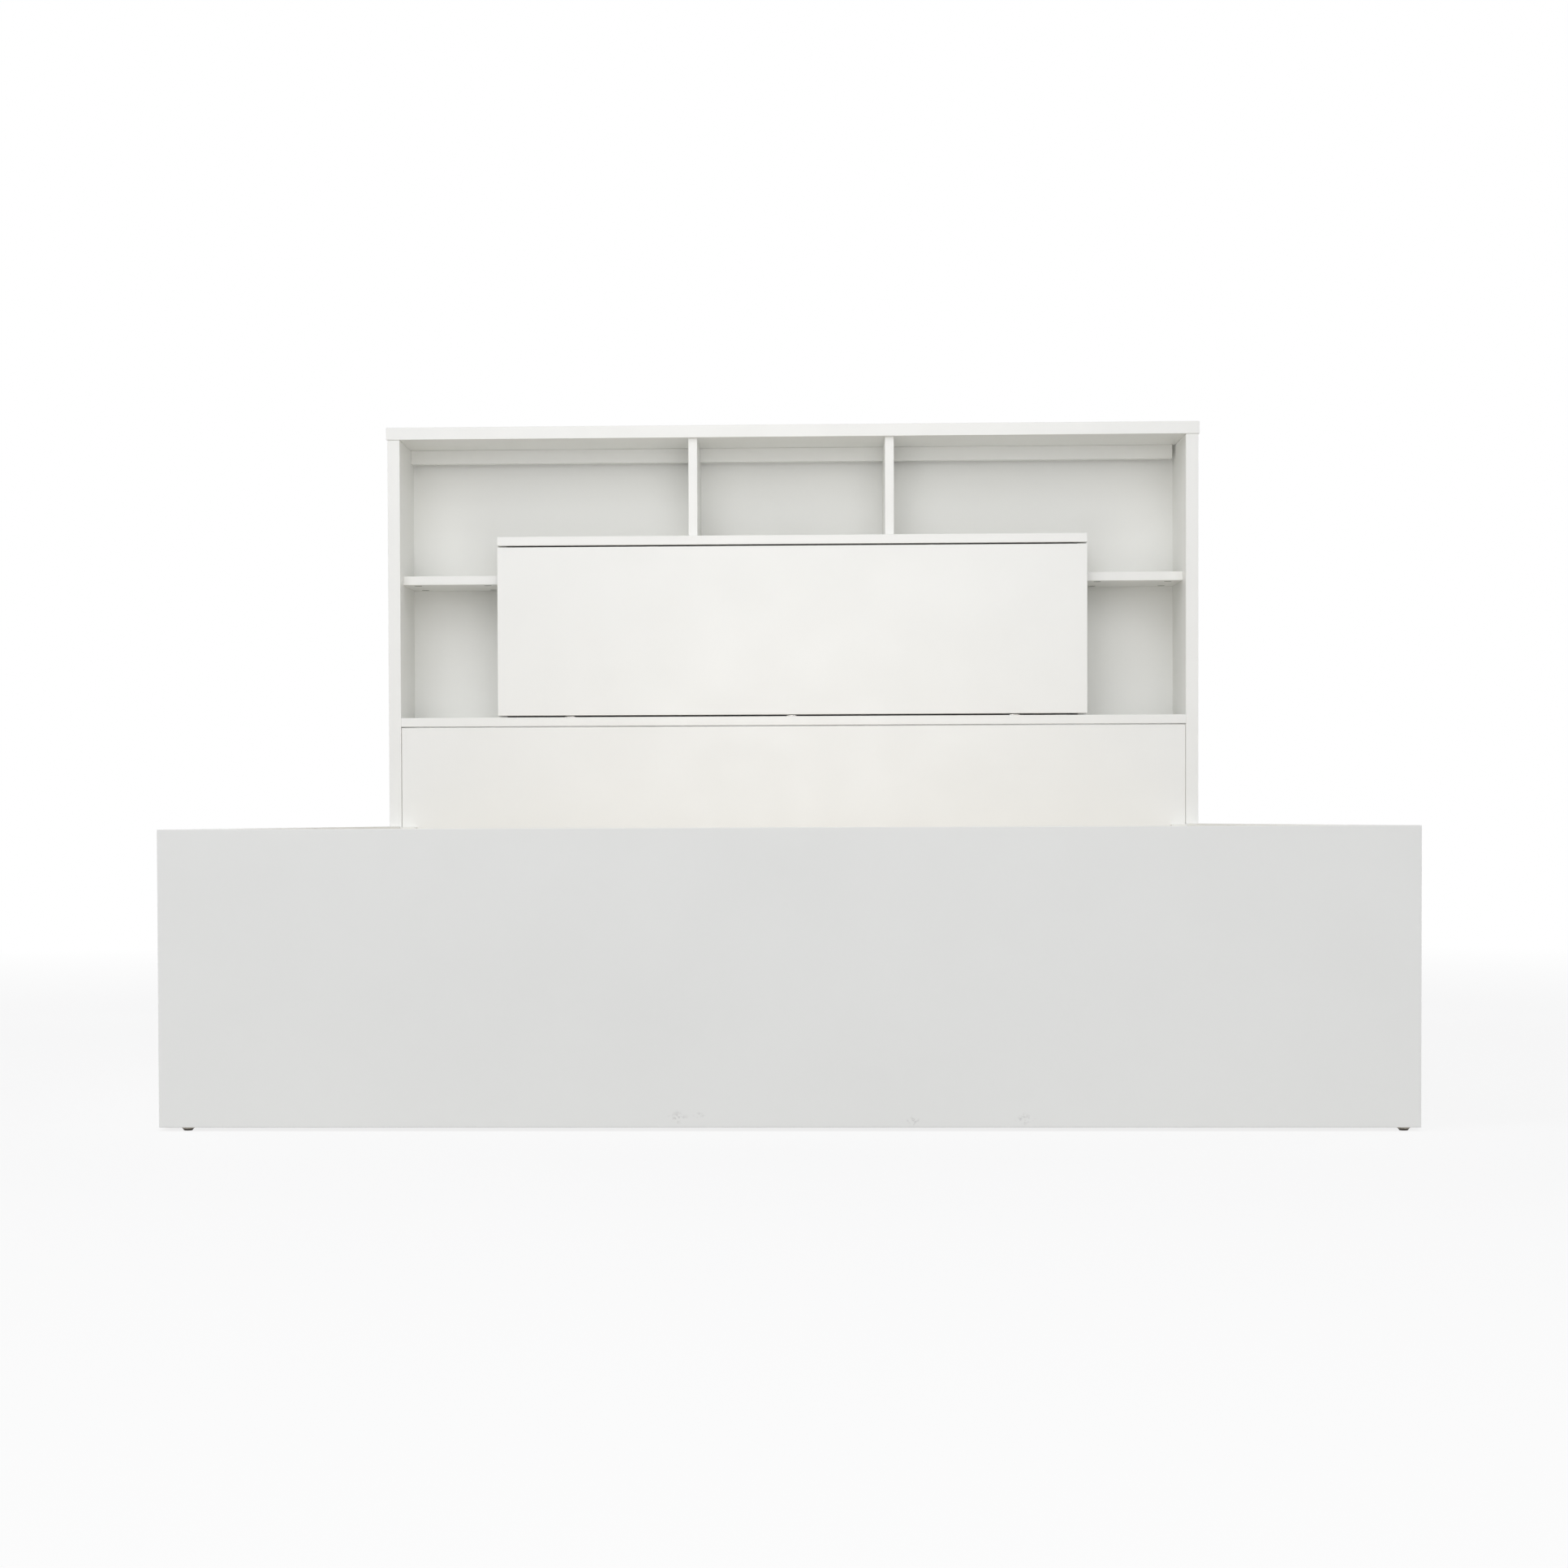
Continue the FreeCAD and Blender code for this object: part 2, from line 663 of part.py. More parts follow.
def cabinet_and_niches(top, floor_shelf, back_panel):
    """The cabinet's three boards and the two dividers above it."""
    roof_low = ("0 - cabinet_half", "head_front", "cabinet_level")
    roof = Board("cabinet_top", roof_low, ("2 * cabinet_half", "niche_depth", "thin_board"))
    walls = {}
    for side in SIDES:
        wall_low = (from_side(side, "cabinet_half - thin_board", "thin_board"), "cabinet_side_front",
                    "cabinet_floor")
        wall_size = ("thin_board", "back_front - cabinet_side_front", "cabinet_level - cabinet_floor")
        walls[side] = Board(f"cabinet_side_{side}", wall_low, wall_size)
        divider_low = (from_side(side, "divider_gap", "thin_board"),
                       "head_front + divider_setback", "cabinet_roof")
        divider_size = ("thin_board", "niche_depth - divider_setback", "top_level - cabinet_roof")
        divider = Board(f"niche_divider_{side}", divider_low, divider_size)
        divider.slot("right", ("0", "head_front + rear_rail_setback - notch_play",
                               "top_level - rear_rail_height - notch_play"),
                     ("0", "niche_depth - rear_rail_setback + notch_play",
                      "rear_rail_height + notch_play"), "thin_board")
        wall_x = on_side(side, "cabinet_half - thin_board / 2")
        divider_x = on_side(side, "divider_gap + thin_board / 2")
        for inset in ("dowel_front", "dowel_back"):
            wall_y = f"head_front + {inset}"
            dowel((wall_x, wall_y, "cabinet_floor"), "+z", (floor_shelf, "top"), (walls[side], "under"))
            dowel((wall_x, wall_y, "cabinet_level"), "-z", (roof, "under"), (walls[side], "top"))
            dowel((divider_x, wall_y, "cabinet_roof"), "+z", (roof, "top"), (divider, "under"))
            dowel((divider_x, wall_y, "top_level"), "-z", (top, "under"), (divider, "top"))
    for board, level in ((floor_shelf, "floor_level"), (roof, "cabinet_level")):
        places = [(f"cabinet_half * {part} / 4", "back_front + back_thickness",
                   f"{level} + thin_board / 2") for part in (-3, -1, 1, 3)]
        tack_down(places, "-y", (back_panel, "back", "back_thickness"), (board, "back"))
    return roof, walls


def side_shelves(carcass, walls):
    """The two small shelves, drawn tight by a cam and a bolt at each corner."""
    cam_bore = "cam_radius + hole_play"
    bolt_bore = "cam_bolt_radius + hole_play"
    axis_level = "shelf_level + thin_board / 2"
    for side in SIDES:
        shelf_low = (from_side(side, "cabinet_half", "inner_half - cabinet_half"),
                     "head_front + shelf_setback", "shelf_level")
        shelf = Board(f"side_shelf_{side}", shelf_low,
                      ("inner_half - cabinet_half", "niche_depth - shelf_setback", "thin_board"))
        other = "right" if side == "left" else "left"
        outwards = "-x" if side == "left" else "+x"
        ends = (
            ("inner_half", "inner_half - cam_place", outwards, carcass[side], other, side),
            ("cabinet_half", "cabinet_half + cam_place", OPPOSITE[outwards[0]] + "x",
             walls[side], side, other),
        )
        for inset in ("shelf_setback + cam_margin", "niche_depth - cam_margin"):
            cam_y = f"head_front + {inset}"
            for end_x, cam_x, direction, board, board_face, shelf_face in ends:
                cam_place = (on_side(side, cam_x), cam_y, "shelf_level")
                axis_place = (on_side(side, cam_x), cam_y, axis_level)
                end_place = (on_side(side, end_x), cam_y, axis_level)
                shelf.drill("under", [cam_place], cam_bore, "cam_height + hole_play")
                shelf.drill(shelf_face, [end_place], bolt_bore, "cam_place")
                board.drill(board_face, [end_place], bolt_bore, "cam_bolt_reach + hole_end")
                bolt_length = "cam_place + cam_bolt_reach"
                into_group("shelf_cam_bolts",
                           rod("cam_bolt", axis_place, direction, bolt_length, "cam_bolt_radius"))
                into_group("shelf_cam_locks", cam_lock(cam_place, axis_place, direction))


def cam_lock(place, axis_place, direction):
    """A round cam with a cross slot in its face and a bore for its bolt."""
    disc = rod("cam_disc", place, "+z", "cam_height", "cam_radius")
    bore = rod("cam_bore", axis_place, direction, "2 * cam_radius", "cam_bolt_radius + hole_play")
    drilled = cut("cam_drilled", disc, bore)
    arm_length = "cam_radius + cam_slot"
    bars = []
    for long_axis, short_axis, length_name, width_name in (("x", "y", "Length", "Width"),
                                                           ("y", "x", "Width", "Length")):
        bar = doc.addObject("Part::Box", "cam_slot_bar")
        bar.setExpression(length_name, bind(arm_length))
        bar.setExpression(width_name, bind("cam_slot"))
        bar.setExpression("Height", bind("cam_slot"))
        corner = shifted(place, "-" + long_axis, f"({arm_length}) / 2")
        set_place(bar, shifted(corner, "-" + short_axis, "cam_slot / 2"), "+z")
        bars.append(bar)
    return cut("cam_lock", drilled, joined("cam_cross", bars))


# ---------------------------------------------------------------- flap
def flap_and_hinges(floor_shelf):
    """The drop-down flap on three single-pivot cup hinges that stop it level."""
    flap = Board("cabinet_flap", ("0 - cabinet_half", "head_front", "flap_low"),
                 ("2 * cabinet_half", "thin_board", "flap_height"))
    for step in (-1, 0, 1):
        hinge_x = f"hinge_spread * {step}"
        flap.drill("back", [(hinge_x, "flap_back", "cup_level")], "cup_radius + cup_play",
                   "cup_depth + cup_play")
        into_group("flap_hinge_cups", hinge_cup(hinge_x))
        pin_start = (f"{hinge_x} - pin_half_length", "axis_place", "axis_level")
        into_group("flap_hinge_pins",
                   rod("hinge_pin", pin_start, "+x", "2 * pin_half_length", "pin_radius"))
        into_group("flap_hinge_arms", hinge_arm(hinge_x))
        cup_places = [(f"{hinge_x} {sign} cup_screw_place", "flap_back + flange_thickness", "cup_level")
                      for sign in "-+"]
        flap.drill("back", cup_places, "tack_radius + hole_play / 2",
                   "tack_length - flange_thickness + hole_end")
        for place in cup_places:
            into_group("hinge_cup_screws", headed("cup_screw", place, "-y", "tack"))
        plate_places = [(hinge_x, f"axis_place + arm_drop + {reach}", "cabinet_floor + plate_thickness")
                        for reach in ("plate_screw_near", "plate_screw_far")]
        tack_down(plate_places, "-z", (None, None, "plate_thickness"), (floor_shelf, "top"))
    return flap


def hinge_cup(hinge_x):
    """The steel cup let into the flap, with its flange and the pin's two holes."""
    body = add_body("hinge_cup", (hinge_x, "flap_back", "cup_level"))
    shell = add_sketch(body, "XZ_Plane")
    draw_circle(shell, ("0", "0"), "cup_radius")
    pad(body, shell, "cup_depth")
    flange = add_sketch(body, "XZ_Plane", "0 - flange_thickness")
    draw_rectangle(flange, ("0 - flange_half", "0 - flange_radius"),
                   ("2 * flange_half", "2 * flange_radius"))
    pad(body, flange, "flange_thickness")
    for sign in "-+":
        flange_end = add_sketch(body, "XZ_Plane", "0 - flange_thickness")
        draw_circle(flange_end, (f"0 {sign} flange_half", "0"), "flange_radius")
        pad(body, flange_end, "flange_thickness")
    hollow = add_sketch(body, "XZ_Plane", "0 - flange_thickness")
    draw_circle(hollow, ("0", "0"), "cup_radius - cup_wall")
    pocket(body, hollow, "flange_thickness + cup_depth - cup_wall", True)
    tack_holes = add_sketch(body, "XZ_Plane", "0 - flange_thickness")
    for sign in "-+":
        draw_circle(tack_holes, (f"0 {sign} cup_screw_place", "0"), "tack_radius + hole_play / 2")
    pocket(body, tack_holes, "flange_thickness", True)
    pin_hole = add_sketch(body, "YZ_Plane", "0 - cup_radius")
    draw_circle(pin_hole, ("axis_place - flap_back", "axis_level - cup_level"), "pin_radius")
    pocket(body, pin_hole, "2 * cup_radius", True)
    return body


def hinge_arm(hinge_x):
    """The fixed arm, bent over the flap's lower edge, with its base plate.

    Its frame lies on the pivot's axis, at the arm's left face.
    """
    body = add_body("hinge_arm", (f"{hinge_x} - arm_width / 2", "axis_place", "axis_level"))
    knuckle = add_sketch(body, "YZ_Plane")
    draw_circle(knuckle, ("0", "0"), "knuckle_radius")
    pad(body, knuckle, "arm_width")
    drop = "arm_drop + arm_thickness"
    floor = "cabinet_floor - axis_level"
    neck = add_sketch(body, "YZ_Plane")
    draw_polygon(neck, [
        ("0 - arm_front", "0"),
        ("arm_back", "0"),
        ("arm_back", "arm_under"),
        ("arm_drop", "arm_under"),
        ("arm_drop", floor),
        (drop, floor),
        (drop, "arm_over"),
        ("0 - arm_front", "arm_over"),
    ])
    pad(body, neck, "arm_width")
    plate = add_sketch(body, "YZ_Plane", "arm_width / 2 - plate_width / 2")
    draw_rectangle(plate, ("arm_drop", floor), ("plate_length", "plate_thickness"))
    pad(body, plate, "plate_width")
    bore = add_sketch(body, "YZ_Plane")
    draw_circle(bore, ("0", "0"), "pin_radius + pin_play")
    pocket(body, bore, "arm_width", True)
    tack_holes = add_sketch(body, "XY_Plane", f"{floor} + plate_thickness")
    for reach in ("plate_screw_near", "plate_screw_far"):
        draw_circle(tack_holes, ("arm_width / 2", f"arm_drop + {reach}"), "tack_radius + hole_play / 2")
    pocket(body, tack_holes, "plate_thickness", False)
    return body


def push_latches(roof):
    """Two push latches under the cabinet's top, with plungers and strike plates."""
    for side in SIDES:
        middle = on_side(side, "latch_spread")
        case_low = (f"{middle} - latch_width / 2", "latch_front", "cabinet_level - latch_height")
        case = Board(f"push_latch_{side}", case_low,
                     ("latch_width", "latch_length", "latch_height"), rounded=False)
        ear = add_sketch(case.body, "XY_Plane", "latch_height - plate_thickness")
        ear_low = ("(latch_width - latch_ear_width) / 2", "(latch_length - latch_ear_length) / 2")
        draw_rectangle(ear, ear_low, ("latch_ear_width", "latch_ear_length"))
        pad(case.body, ear, "plate_thickness")
        case.drill("front", [(middle, "latch_front", "plunger_level")], "plunger_bore",
                   "plunger_length + plunger_room")
        places = [(f"{middle} {sign} latch_screw_place", "latch_front + latch_length / 2",
                   "cabinet_level - plate_thickness") for sign in "-+"]
        tack_down(places, "+z", (case, "top", "plate_thickness"), (roof, "under"))
        start = (middle, "plunger_tip", "plunger_level")
        tip = rod("plunger_tip", start, "+y", "plunger_tip_length", "plunger_tip_radius")
        stem = rod("plunger_stem", start, "+y", "plunger_length", "plunger_radius")
        into_group(f"latch_plunger_{side}", joined("plunger", [tip, stem]))
        into_group("latch_strike_plates",
                   rod("strike_plate", (middle, "flap_back", "plunger_level"), "+y",
                       "strike_thickness", "strike_radius"))


def flap_bumpers():
    """Soft round pads on the cabinet sides' front edges, behind the closed flap."""
    for side in SIDES:
        bumper_x = on_side(side, "cabinet_half - thin_board / 2")
        for level in ("cabinet_floor + bumper_inset", "cabinet_level - bumper_inset"):
            place = (bumper_x, "cabinet_side_front", level)
            into_group("flap_bumpers",
                       rod("bumper", place, "-y", "bumper_thickness", "bumper_radius"))


# ---------------------------------------------------------------- glides
def floor_glides():
    """Round nail-on glides under the boards that stand on the floor."""
    places = []
    for side in SIDES:
        glide_x = on_side(side, f"half_width - glide_inset_{side}")
        places.append((glide_x, "foot_front + thick_board / 2"))
        for inset in ("glide_front", "glide_back"):
            places.append((on_side(side, "board_middle"), f"head_front + {inset}"))
    for sign in "-+":
        places.append(("0", f"frame_middle {sign} leg_spread"))
    for place in places:
        cap = rod("glide_cap", (*place, "foot_gap"), "-z", "glide_cap_height", "glide_cap_radius")
        sole = doc.addObject("Part::Cone", "glide_sole")
        sole.setExpression("Radius1", bind("glide_sole_radius"))
        sole.setExpression("Radius2", bind("glide_radius"))
        sole.setExpression("Height", bind("foot_gap - glide_cap_height"))
        set_place(sole, (*place, "0"), "+z")
        into_group("floor_glides", joined("glide", [cap, sole]))


# ---------------------------------------------------------------- build, check and write
def gather_groups():
    """Make one sub-part of each group of like pieces."""
    for label, pieces in groups.items():
        group = doc.addObject("Part::Compound", label)
        group.Label = label
        group.Links = pieces


def sub_parts():
    """Every body and group that is a sub-part of its own, not a piece of a group."""
    inner = set()
    for pieces in groups.values():
        inner.update(piece.Name for piece in pieces)
    kinds = ("PartDesign::Body", "Part::Compound")
    return [thing for thing in doc.Objects if thing.TypeId in kinds and thing.Name not in inner]


def check_document(parts):
    """Stop at any failed object, empty shape, or cut that takes nothing away."""
    for thing in doc.Objects:
        if "Invalid" in thing.State or "Error" in thing.State:
            raise RuntimeError(f"{thing.Name}: {thing.State}")
        if thing.TypeId == "PartDesign::Pocket":
            before = thing.BaseFeature.Shape.Volume
            if thing.Shape.Volume > before - 0.5:
                raise RuntimeError(f"{thing.Name} cuts nothing")
    for part in parts:
        shape = part.Shape
        if shape.isNull() or not shape.isValid() or not shape.Solids:
            raise RuntimeError(f"{part.Label} has no valid solid")


def write_parts(parts):
    """Write one STEP file for each sub-part, named by its label."""
    os.makedirs("parts", exist_ok=True)
    for part in parts:
        part.Shape.exportStep(f"parts/{part.Label}.step")
        box = part.Shape.BoundBox
        print(f"{part.Label}: {len(part.Shape.Solids)} solid(s), "
              f"{box.XLength:.1f} x {box.YLength:.1f} x {box.ZLength:.1f}")
    print(len(parts), "sub-parts")


add_sheet()
sides, head_top, head_floor, head_panel, head_back_panel = headboard()
cabinet_roof, cabinet_walls = cabinet_and_niches(head_top, head_floor, head_back_panel)
side_shelves(sides, cabinet_walls)
flap_and_hinges(head_floor)
push_latches(cabinet_roof)
flap_bumpers()
front_board = bed_frame(head_panel)
centre_support(front_board, head_panel)
slatted_base()
floor_glides()
gather_groups()
doc.recompute()
bed_parts = sub_parts()
check_document(bed_parts)
write_parts(bed_parts)
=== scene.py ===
"""Finishes, fittings and stage of the bookcase headboard bed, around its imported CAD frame.

Lengths are in metres in the bed's frame: X to the right seen from the foot, Y from the foot to
the headboard, Z up from the floor. The boards and timbers are the CAD's own solids with new
finishes. The small fittings are modelled here in more detail, in the places of their solids.
"""

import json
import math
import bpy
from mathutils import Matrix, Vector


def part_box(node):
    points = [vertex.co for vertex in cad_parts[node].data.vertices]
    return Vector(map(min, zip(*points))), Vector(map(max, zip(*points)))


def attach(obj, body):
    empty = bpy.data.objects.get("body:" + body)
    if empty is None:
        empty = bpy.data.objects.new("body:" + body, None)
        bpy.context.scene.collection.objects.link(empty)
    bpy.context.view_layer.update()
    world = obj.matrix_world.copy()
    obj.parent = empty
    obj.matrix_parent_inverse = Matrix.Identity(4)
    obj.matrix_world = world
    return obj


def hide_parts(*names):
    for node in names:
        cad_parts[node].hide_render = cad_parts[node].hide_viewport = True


bl_info = {
    "name": "Bookcase headboard bed",
    "version": (1, 0, 0),
    "blender": (4, 5, 0),
    "location": "View3D > Sidebar > Bed",
    "description": "Finishes, fittings and stage of a white bed with a bookcase headboard",
    "category": "Object",
}

import bmesh
import bpy
from bpy.props import FloatProperty, FloatVectorProperty, IntProperty, PointerProperty
from mathutils import Matrix, Vector

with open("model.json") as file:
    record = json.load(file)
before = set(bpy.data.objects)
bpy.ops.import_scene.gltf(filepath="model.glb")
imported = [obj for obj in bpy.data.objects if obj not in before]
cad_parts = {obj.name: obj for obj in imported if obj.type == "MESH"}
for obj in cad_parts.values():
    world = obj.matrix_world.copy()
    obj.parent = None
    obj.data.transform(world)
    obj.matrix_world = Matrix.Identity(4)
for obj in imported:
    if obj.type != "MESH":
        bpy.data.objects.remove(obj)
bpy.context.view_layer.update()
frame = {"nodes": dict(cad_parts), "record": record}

MM = 0.001
# Edges flatter than this look smooth, and sharper than this are rounded.
SMOOTH_BELOW = math.radians(35.0)
HARD_ABOVE = math.radians(50.0)
# Fineness of the chips in the boards' core.
CHIP_SCALE = 420.0
# Distances between the hardboard's pressed dimples, and between the tape's threads.
DIMPLE_PITCH = 1.8 * MM
WEFT_PITCH = 1.1 * MM
WARP_PITCH = 1.4 * MM
# Faint marks low on the foot board: their X, their level and their reach.
SCUFFS = (
    (-0.124, 0.016, 0.011),
    (-0.099, 0.018, 0.006),
    (0.147, 0.012, 0.008),
    (0.274, 0.014, 0.010),
)

FLOOR_REACH = 30.0
# Soft lights from far off: strength, azimuth, elevation and spread in degrees. Azimuth 0 is
# straight in front of the foot, and more is to the right.
DISTANT_LIGHTS = {
    "front_light": ("front_strength", 0.0, 10.0, 40.0),
    "left_light": ("left_strength", -70.0, 15.0, 50.0),
    "right_light": ("right_strength", 65.0, 20.0, 50.0),
    "rear_left_light": ("rear_strength", -128.0, 12.0, 40.0),
    "rear_right_light": ("rear_strength", 128.0, 12.0, 40.0),
}
# Square lamps: power, width, place and the point that each faces.
SQUARE_LAMPS = {
    "head_lamp": ("head_power", "head_lamp_size", (-0.9, -2.3, 3.3), (0.0, 0.9, 0.7)),
    "deck_lamp": ("deck_power", "deck_lamp_size", (0.0, -0.35, 0.52), (0.0, 0.15, 1.39)),
}
# The camera's place, its yaw, pitch and roll in degrees, and its lens shift.
CAMERA_PLACE = (0.0237, -4.7135, 0.3567)
CAMERA_TURNS = (2.138, -1.425, -0.213)
CAMERA_SHIFT = (0.0609, 0.0733)
SENSOR_WIDTH = 36.0


# ---------------------------------------------------------------- properties
def colour(name, description, default):
    """A colour that the user can change."""
    return FloatVectorProperty(name=name, description=description, default=default, size=3,
                               subtype="COLOR", min=0.0, max=1.0)


def length(name, description, default):
    """A length in metres that the user can change."""
    return FloatProperty(name=name, description=description, default=default, min=0.0,
                         unit="LENGTH", precision=5)


def share(name, description, default):
    """A part of one that the user can change."""
    return FloatProperty(name=name, description=description, default=default, min=0.0, max=1.0,
                         subtype="FACTOR")


def brightness(name, description, default, unit="NONE"):
    """The strength of a light, which the user can change."""
    return FloatProperty(name=name, description=description, default=default, min=0.0, unit=unit)


class BoardFinish(bpy.types.PropertyGroup):
    """Looks of the boards covered in white foil, and of the thin back."""
    foil: colour("Foil", "Colour of the white foil", (0.900, 0.901, 0.868))
    rub: colour("Rubbed edge", "Colour of foil rubbed dull along the edges", (0.74, 0.73, 0.71))
    scuff: colour("Scuff", "Colour of the faint marks low on the foot board", (0.52, 0.51, 0.49))
    gloss: share("Roughness", "Roughness of the satin foil", 0.40)
    mottle: share("Mottle", "How much the foil's tone varies", 0.014)
    grain_size: length("Grain size", "Size of the foil's fine pressed grain", 0.0011)
    chip_light: colour("Light chips", "Light chips of the core, seen under the boards",
                       (0.60, 0.45, 0.29))
    chip_dark: colour("Dark chips", "Dark chips of the core", (0.30, 0.19, 0.10))
    hardboard: colour("Hardboard", "Rear of the thin back", (0.25, 0.145, 0.075))
    hardboard_dark: colour("Hardboard fibres", "Dark fibres of the thin back's rear",
                           (0.13, 0.07, 0.035))


class TimberFinish(bpy.types.PropertyGroup):
    """Looks of the softwood slats, cleats, beam and legs, and of the beech dowels."""
    early: colour("Early wood", "Pale wood between the year rings", (0.80, 0.73, 0.60))
    late: colour("Late wood", "Darker wood of the year rings", (0.67, 0.54, 0.37))
    knot: colour("Knot", "Wood of the knots", (0.20, 0.095, 0.035))
    beech: colour("Beech", "Wood of the dowels", (0.66, 0.47, 0.30))
    ring_pitch: length("Ring pitch", "Distance between year rings", 0.0042)


class FittingFinish(bpy.types.PropertyGroup):
    """Looks of the metal, plastic and rubber fittings."""
    steel: colour("Plated steel", "Zinc-plated steel of screws and plates", (0.60, 0.61, 0.62))
    steel_warm: colour("Plating tint", "Warmer patches of the plating", (0.62, 0.57, 0.45))
    nickel: colour("Nickel", "Nickel-plated steel of the hinges", (0.66, 0.64, 0.60))
    cam: colour("Cast cam", "Die-cast cams of the side shelves", (0.36, 0.36, 0.35))
    plastic: colour("Latch plastic", "Moulded latch cases", (0.74, 0.74, 0.72))
    plunger: colour("Plunger plastic", "Moulded plungers", (0.60, 0.60, 0.59))
    rubber: colour("Rubber", "Soft pads behind the flap", (0.62, 0.62, 0.58))
    cream: colour("Glide cap", "Cream caps of the glides", (0.72, 0.68, 0.58))
    sole: colour("Glide sole", "Dark soles of the glides", (0.055, 0.042, 0.032))
    webbing: colour("Webbing", "Woven tape under the slats", (0.76, 0.74, 0.69))


class FittingSizes(bpy.types.PropertyGroup):
    """Sizes of the fittings' details."""
    screw_head: length("Screw head", "Height of the frame screws' heads", 0.0024)
    tack_head: length("Short screw head", "Height of the short screws' heads", 0.0016)
    bolt_head: length("Bolt head", "Height of the corner bolts' heads", 0.004)
    bolt_socket: length("Bolt socket", "Half the socket's width across its corners", 0.0023)
    cam_rim: length("Cam rim", "Depth of the cam's face below its rim", 0.0006)
    cup_radius: length("Hinge cup", "Outer radius of a hinge cup", 0.0175)
    cup_wall: length("Cup wall", "Thickness of a hinge cup's steel", 0.0007)
    latch_half: length("Latch half width", "Half the width of a latch case", 0.007)
    stem_radius: length("Plunger stem", "Radius of a plunger's stem", 0.0039)
    staple_crown: length("Staple crown", "Width of a staple's crown", 0.009)
    staple_wire: length("Staple wire", "Thickness of a staple's wire", 0.0011)
    strap_sag: length("Strap sag", "How far the tape hangs between two slats", 0.0012)
    strap_ribs: IntProperty(name="Strap ribs", description="Ribs across the woven tape",
                            default=9, min=3, max=20)
    soft_edge: length("Soft edge", "Rounding of pressed and moulded edges", 0.0004)


class StageSetup(bpy.types.PropertyGroup):
    """Floor, surroundings, lamps and camera."""
    floor: colour("Floor", "Colour of the plain floor", (0.90, 0.90, 0.90))
    floor_bounce: colour("Floor bounce", "Colour of the light that the floor throws back",
                         (0.60, 0.60, 0.60))
    floor_glow: share("Floor glow", "How far the floor is seen as plain white", 0.82)
    floor_fade: length("Floor fade", "Distance at which the floor is seen as plain white", 4.5)
    ambient: brightness("Ambient", "Strength of the light from all round", 0.40)
    lamp_tint: colour("Lamp tint", "Colour of every lamp and of the light from all round",
                      (0.974, 0.977, 1.0))
    front_strength: brightness("Front light", "Strength of the low light from the front", 0.75)
    left_strength: brightness("Left light", "Strength of the low light from the left", 0.56)
    right_strength: brightness("Right light", "Strength of the low light from the right", 0.38)
    rear_strength: brightness("Rear lights", "Strength of the two low lights from behind", 0.85)
    head_power: brightness("Head lamp", "Power of the lamp high before the foot", 24.0, "POWER")
    deck_power: brightness("Deck lamp", "Power of the weak lamp over the slats", 3.6, "POWER")
    head_lamp_size: length("Head lamp size", "Width of the lamp high before the foot", 2.0)
    deck_lamp_size: length("Deck lamp size", "Width of the lamp over the slats", 0.7)
    focal_length: FloatProperty(name="Focal length", description="Focal length on a 36 mm frame",
                                default=71.91, min=10.0, unit="CAMERA")


# ---------------------------------------------------------------- material nodes
class Nodes:
    """Shader nodes under construction, in a tree that starts empty."""

    def __init__(self, tree, output):
        self.tree = tree
        tree.nodes.clear()
        self.output = self.add(output)

    def add(self, kind, inputs=None, **settings):
        """A node whose inputs are numbers, colours or other nodes' outputs."""
        node = self.tree.nodes.new(kind)
        for name, value in settings.items():
            setattr(node, name, value)
        for name, value in (inputs or {}).items():
            self.feed(node.inputs[name], value)
        return node

    def feed(self, socket, value):
        """Link an output to an input, or write a plain value into it."""
        if isinstance(value, bpy.types.NodeSocket):
            self.tree.links.new(value, socket)
        elif getattr(socket, "type", "") == "RGBA" and len(value) == 3:
            socket.default_value = (*value, 1.0)
        else:
            socket.default_value = value

    def end_seen_as(self, shader, seen_shader):
        """End in a shader that camera, glossy and transmission rays see as another one."""
        path = self.add("ShaderNodeLightPath")
        seen = path.outputs["Is Camera Ray"]
        for kind in ("Is Glossy Ray", "Is Transmission Ray"):
            seen = self.add("ShaderNodeMath", {0: seen, 1: path.outputs[kind]},
                            operation="MAXIMUM").outputs[0]
        mix = self.add("ShaderNodeMixShader",
                       {0: seen, 1: shader.outputs[0], 2: seen_shader.outputs[0]})
        self.feed(self.output.inputs["Surface"], mix.outputs[0])


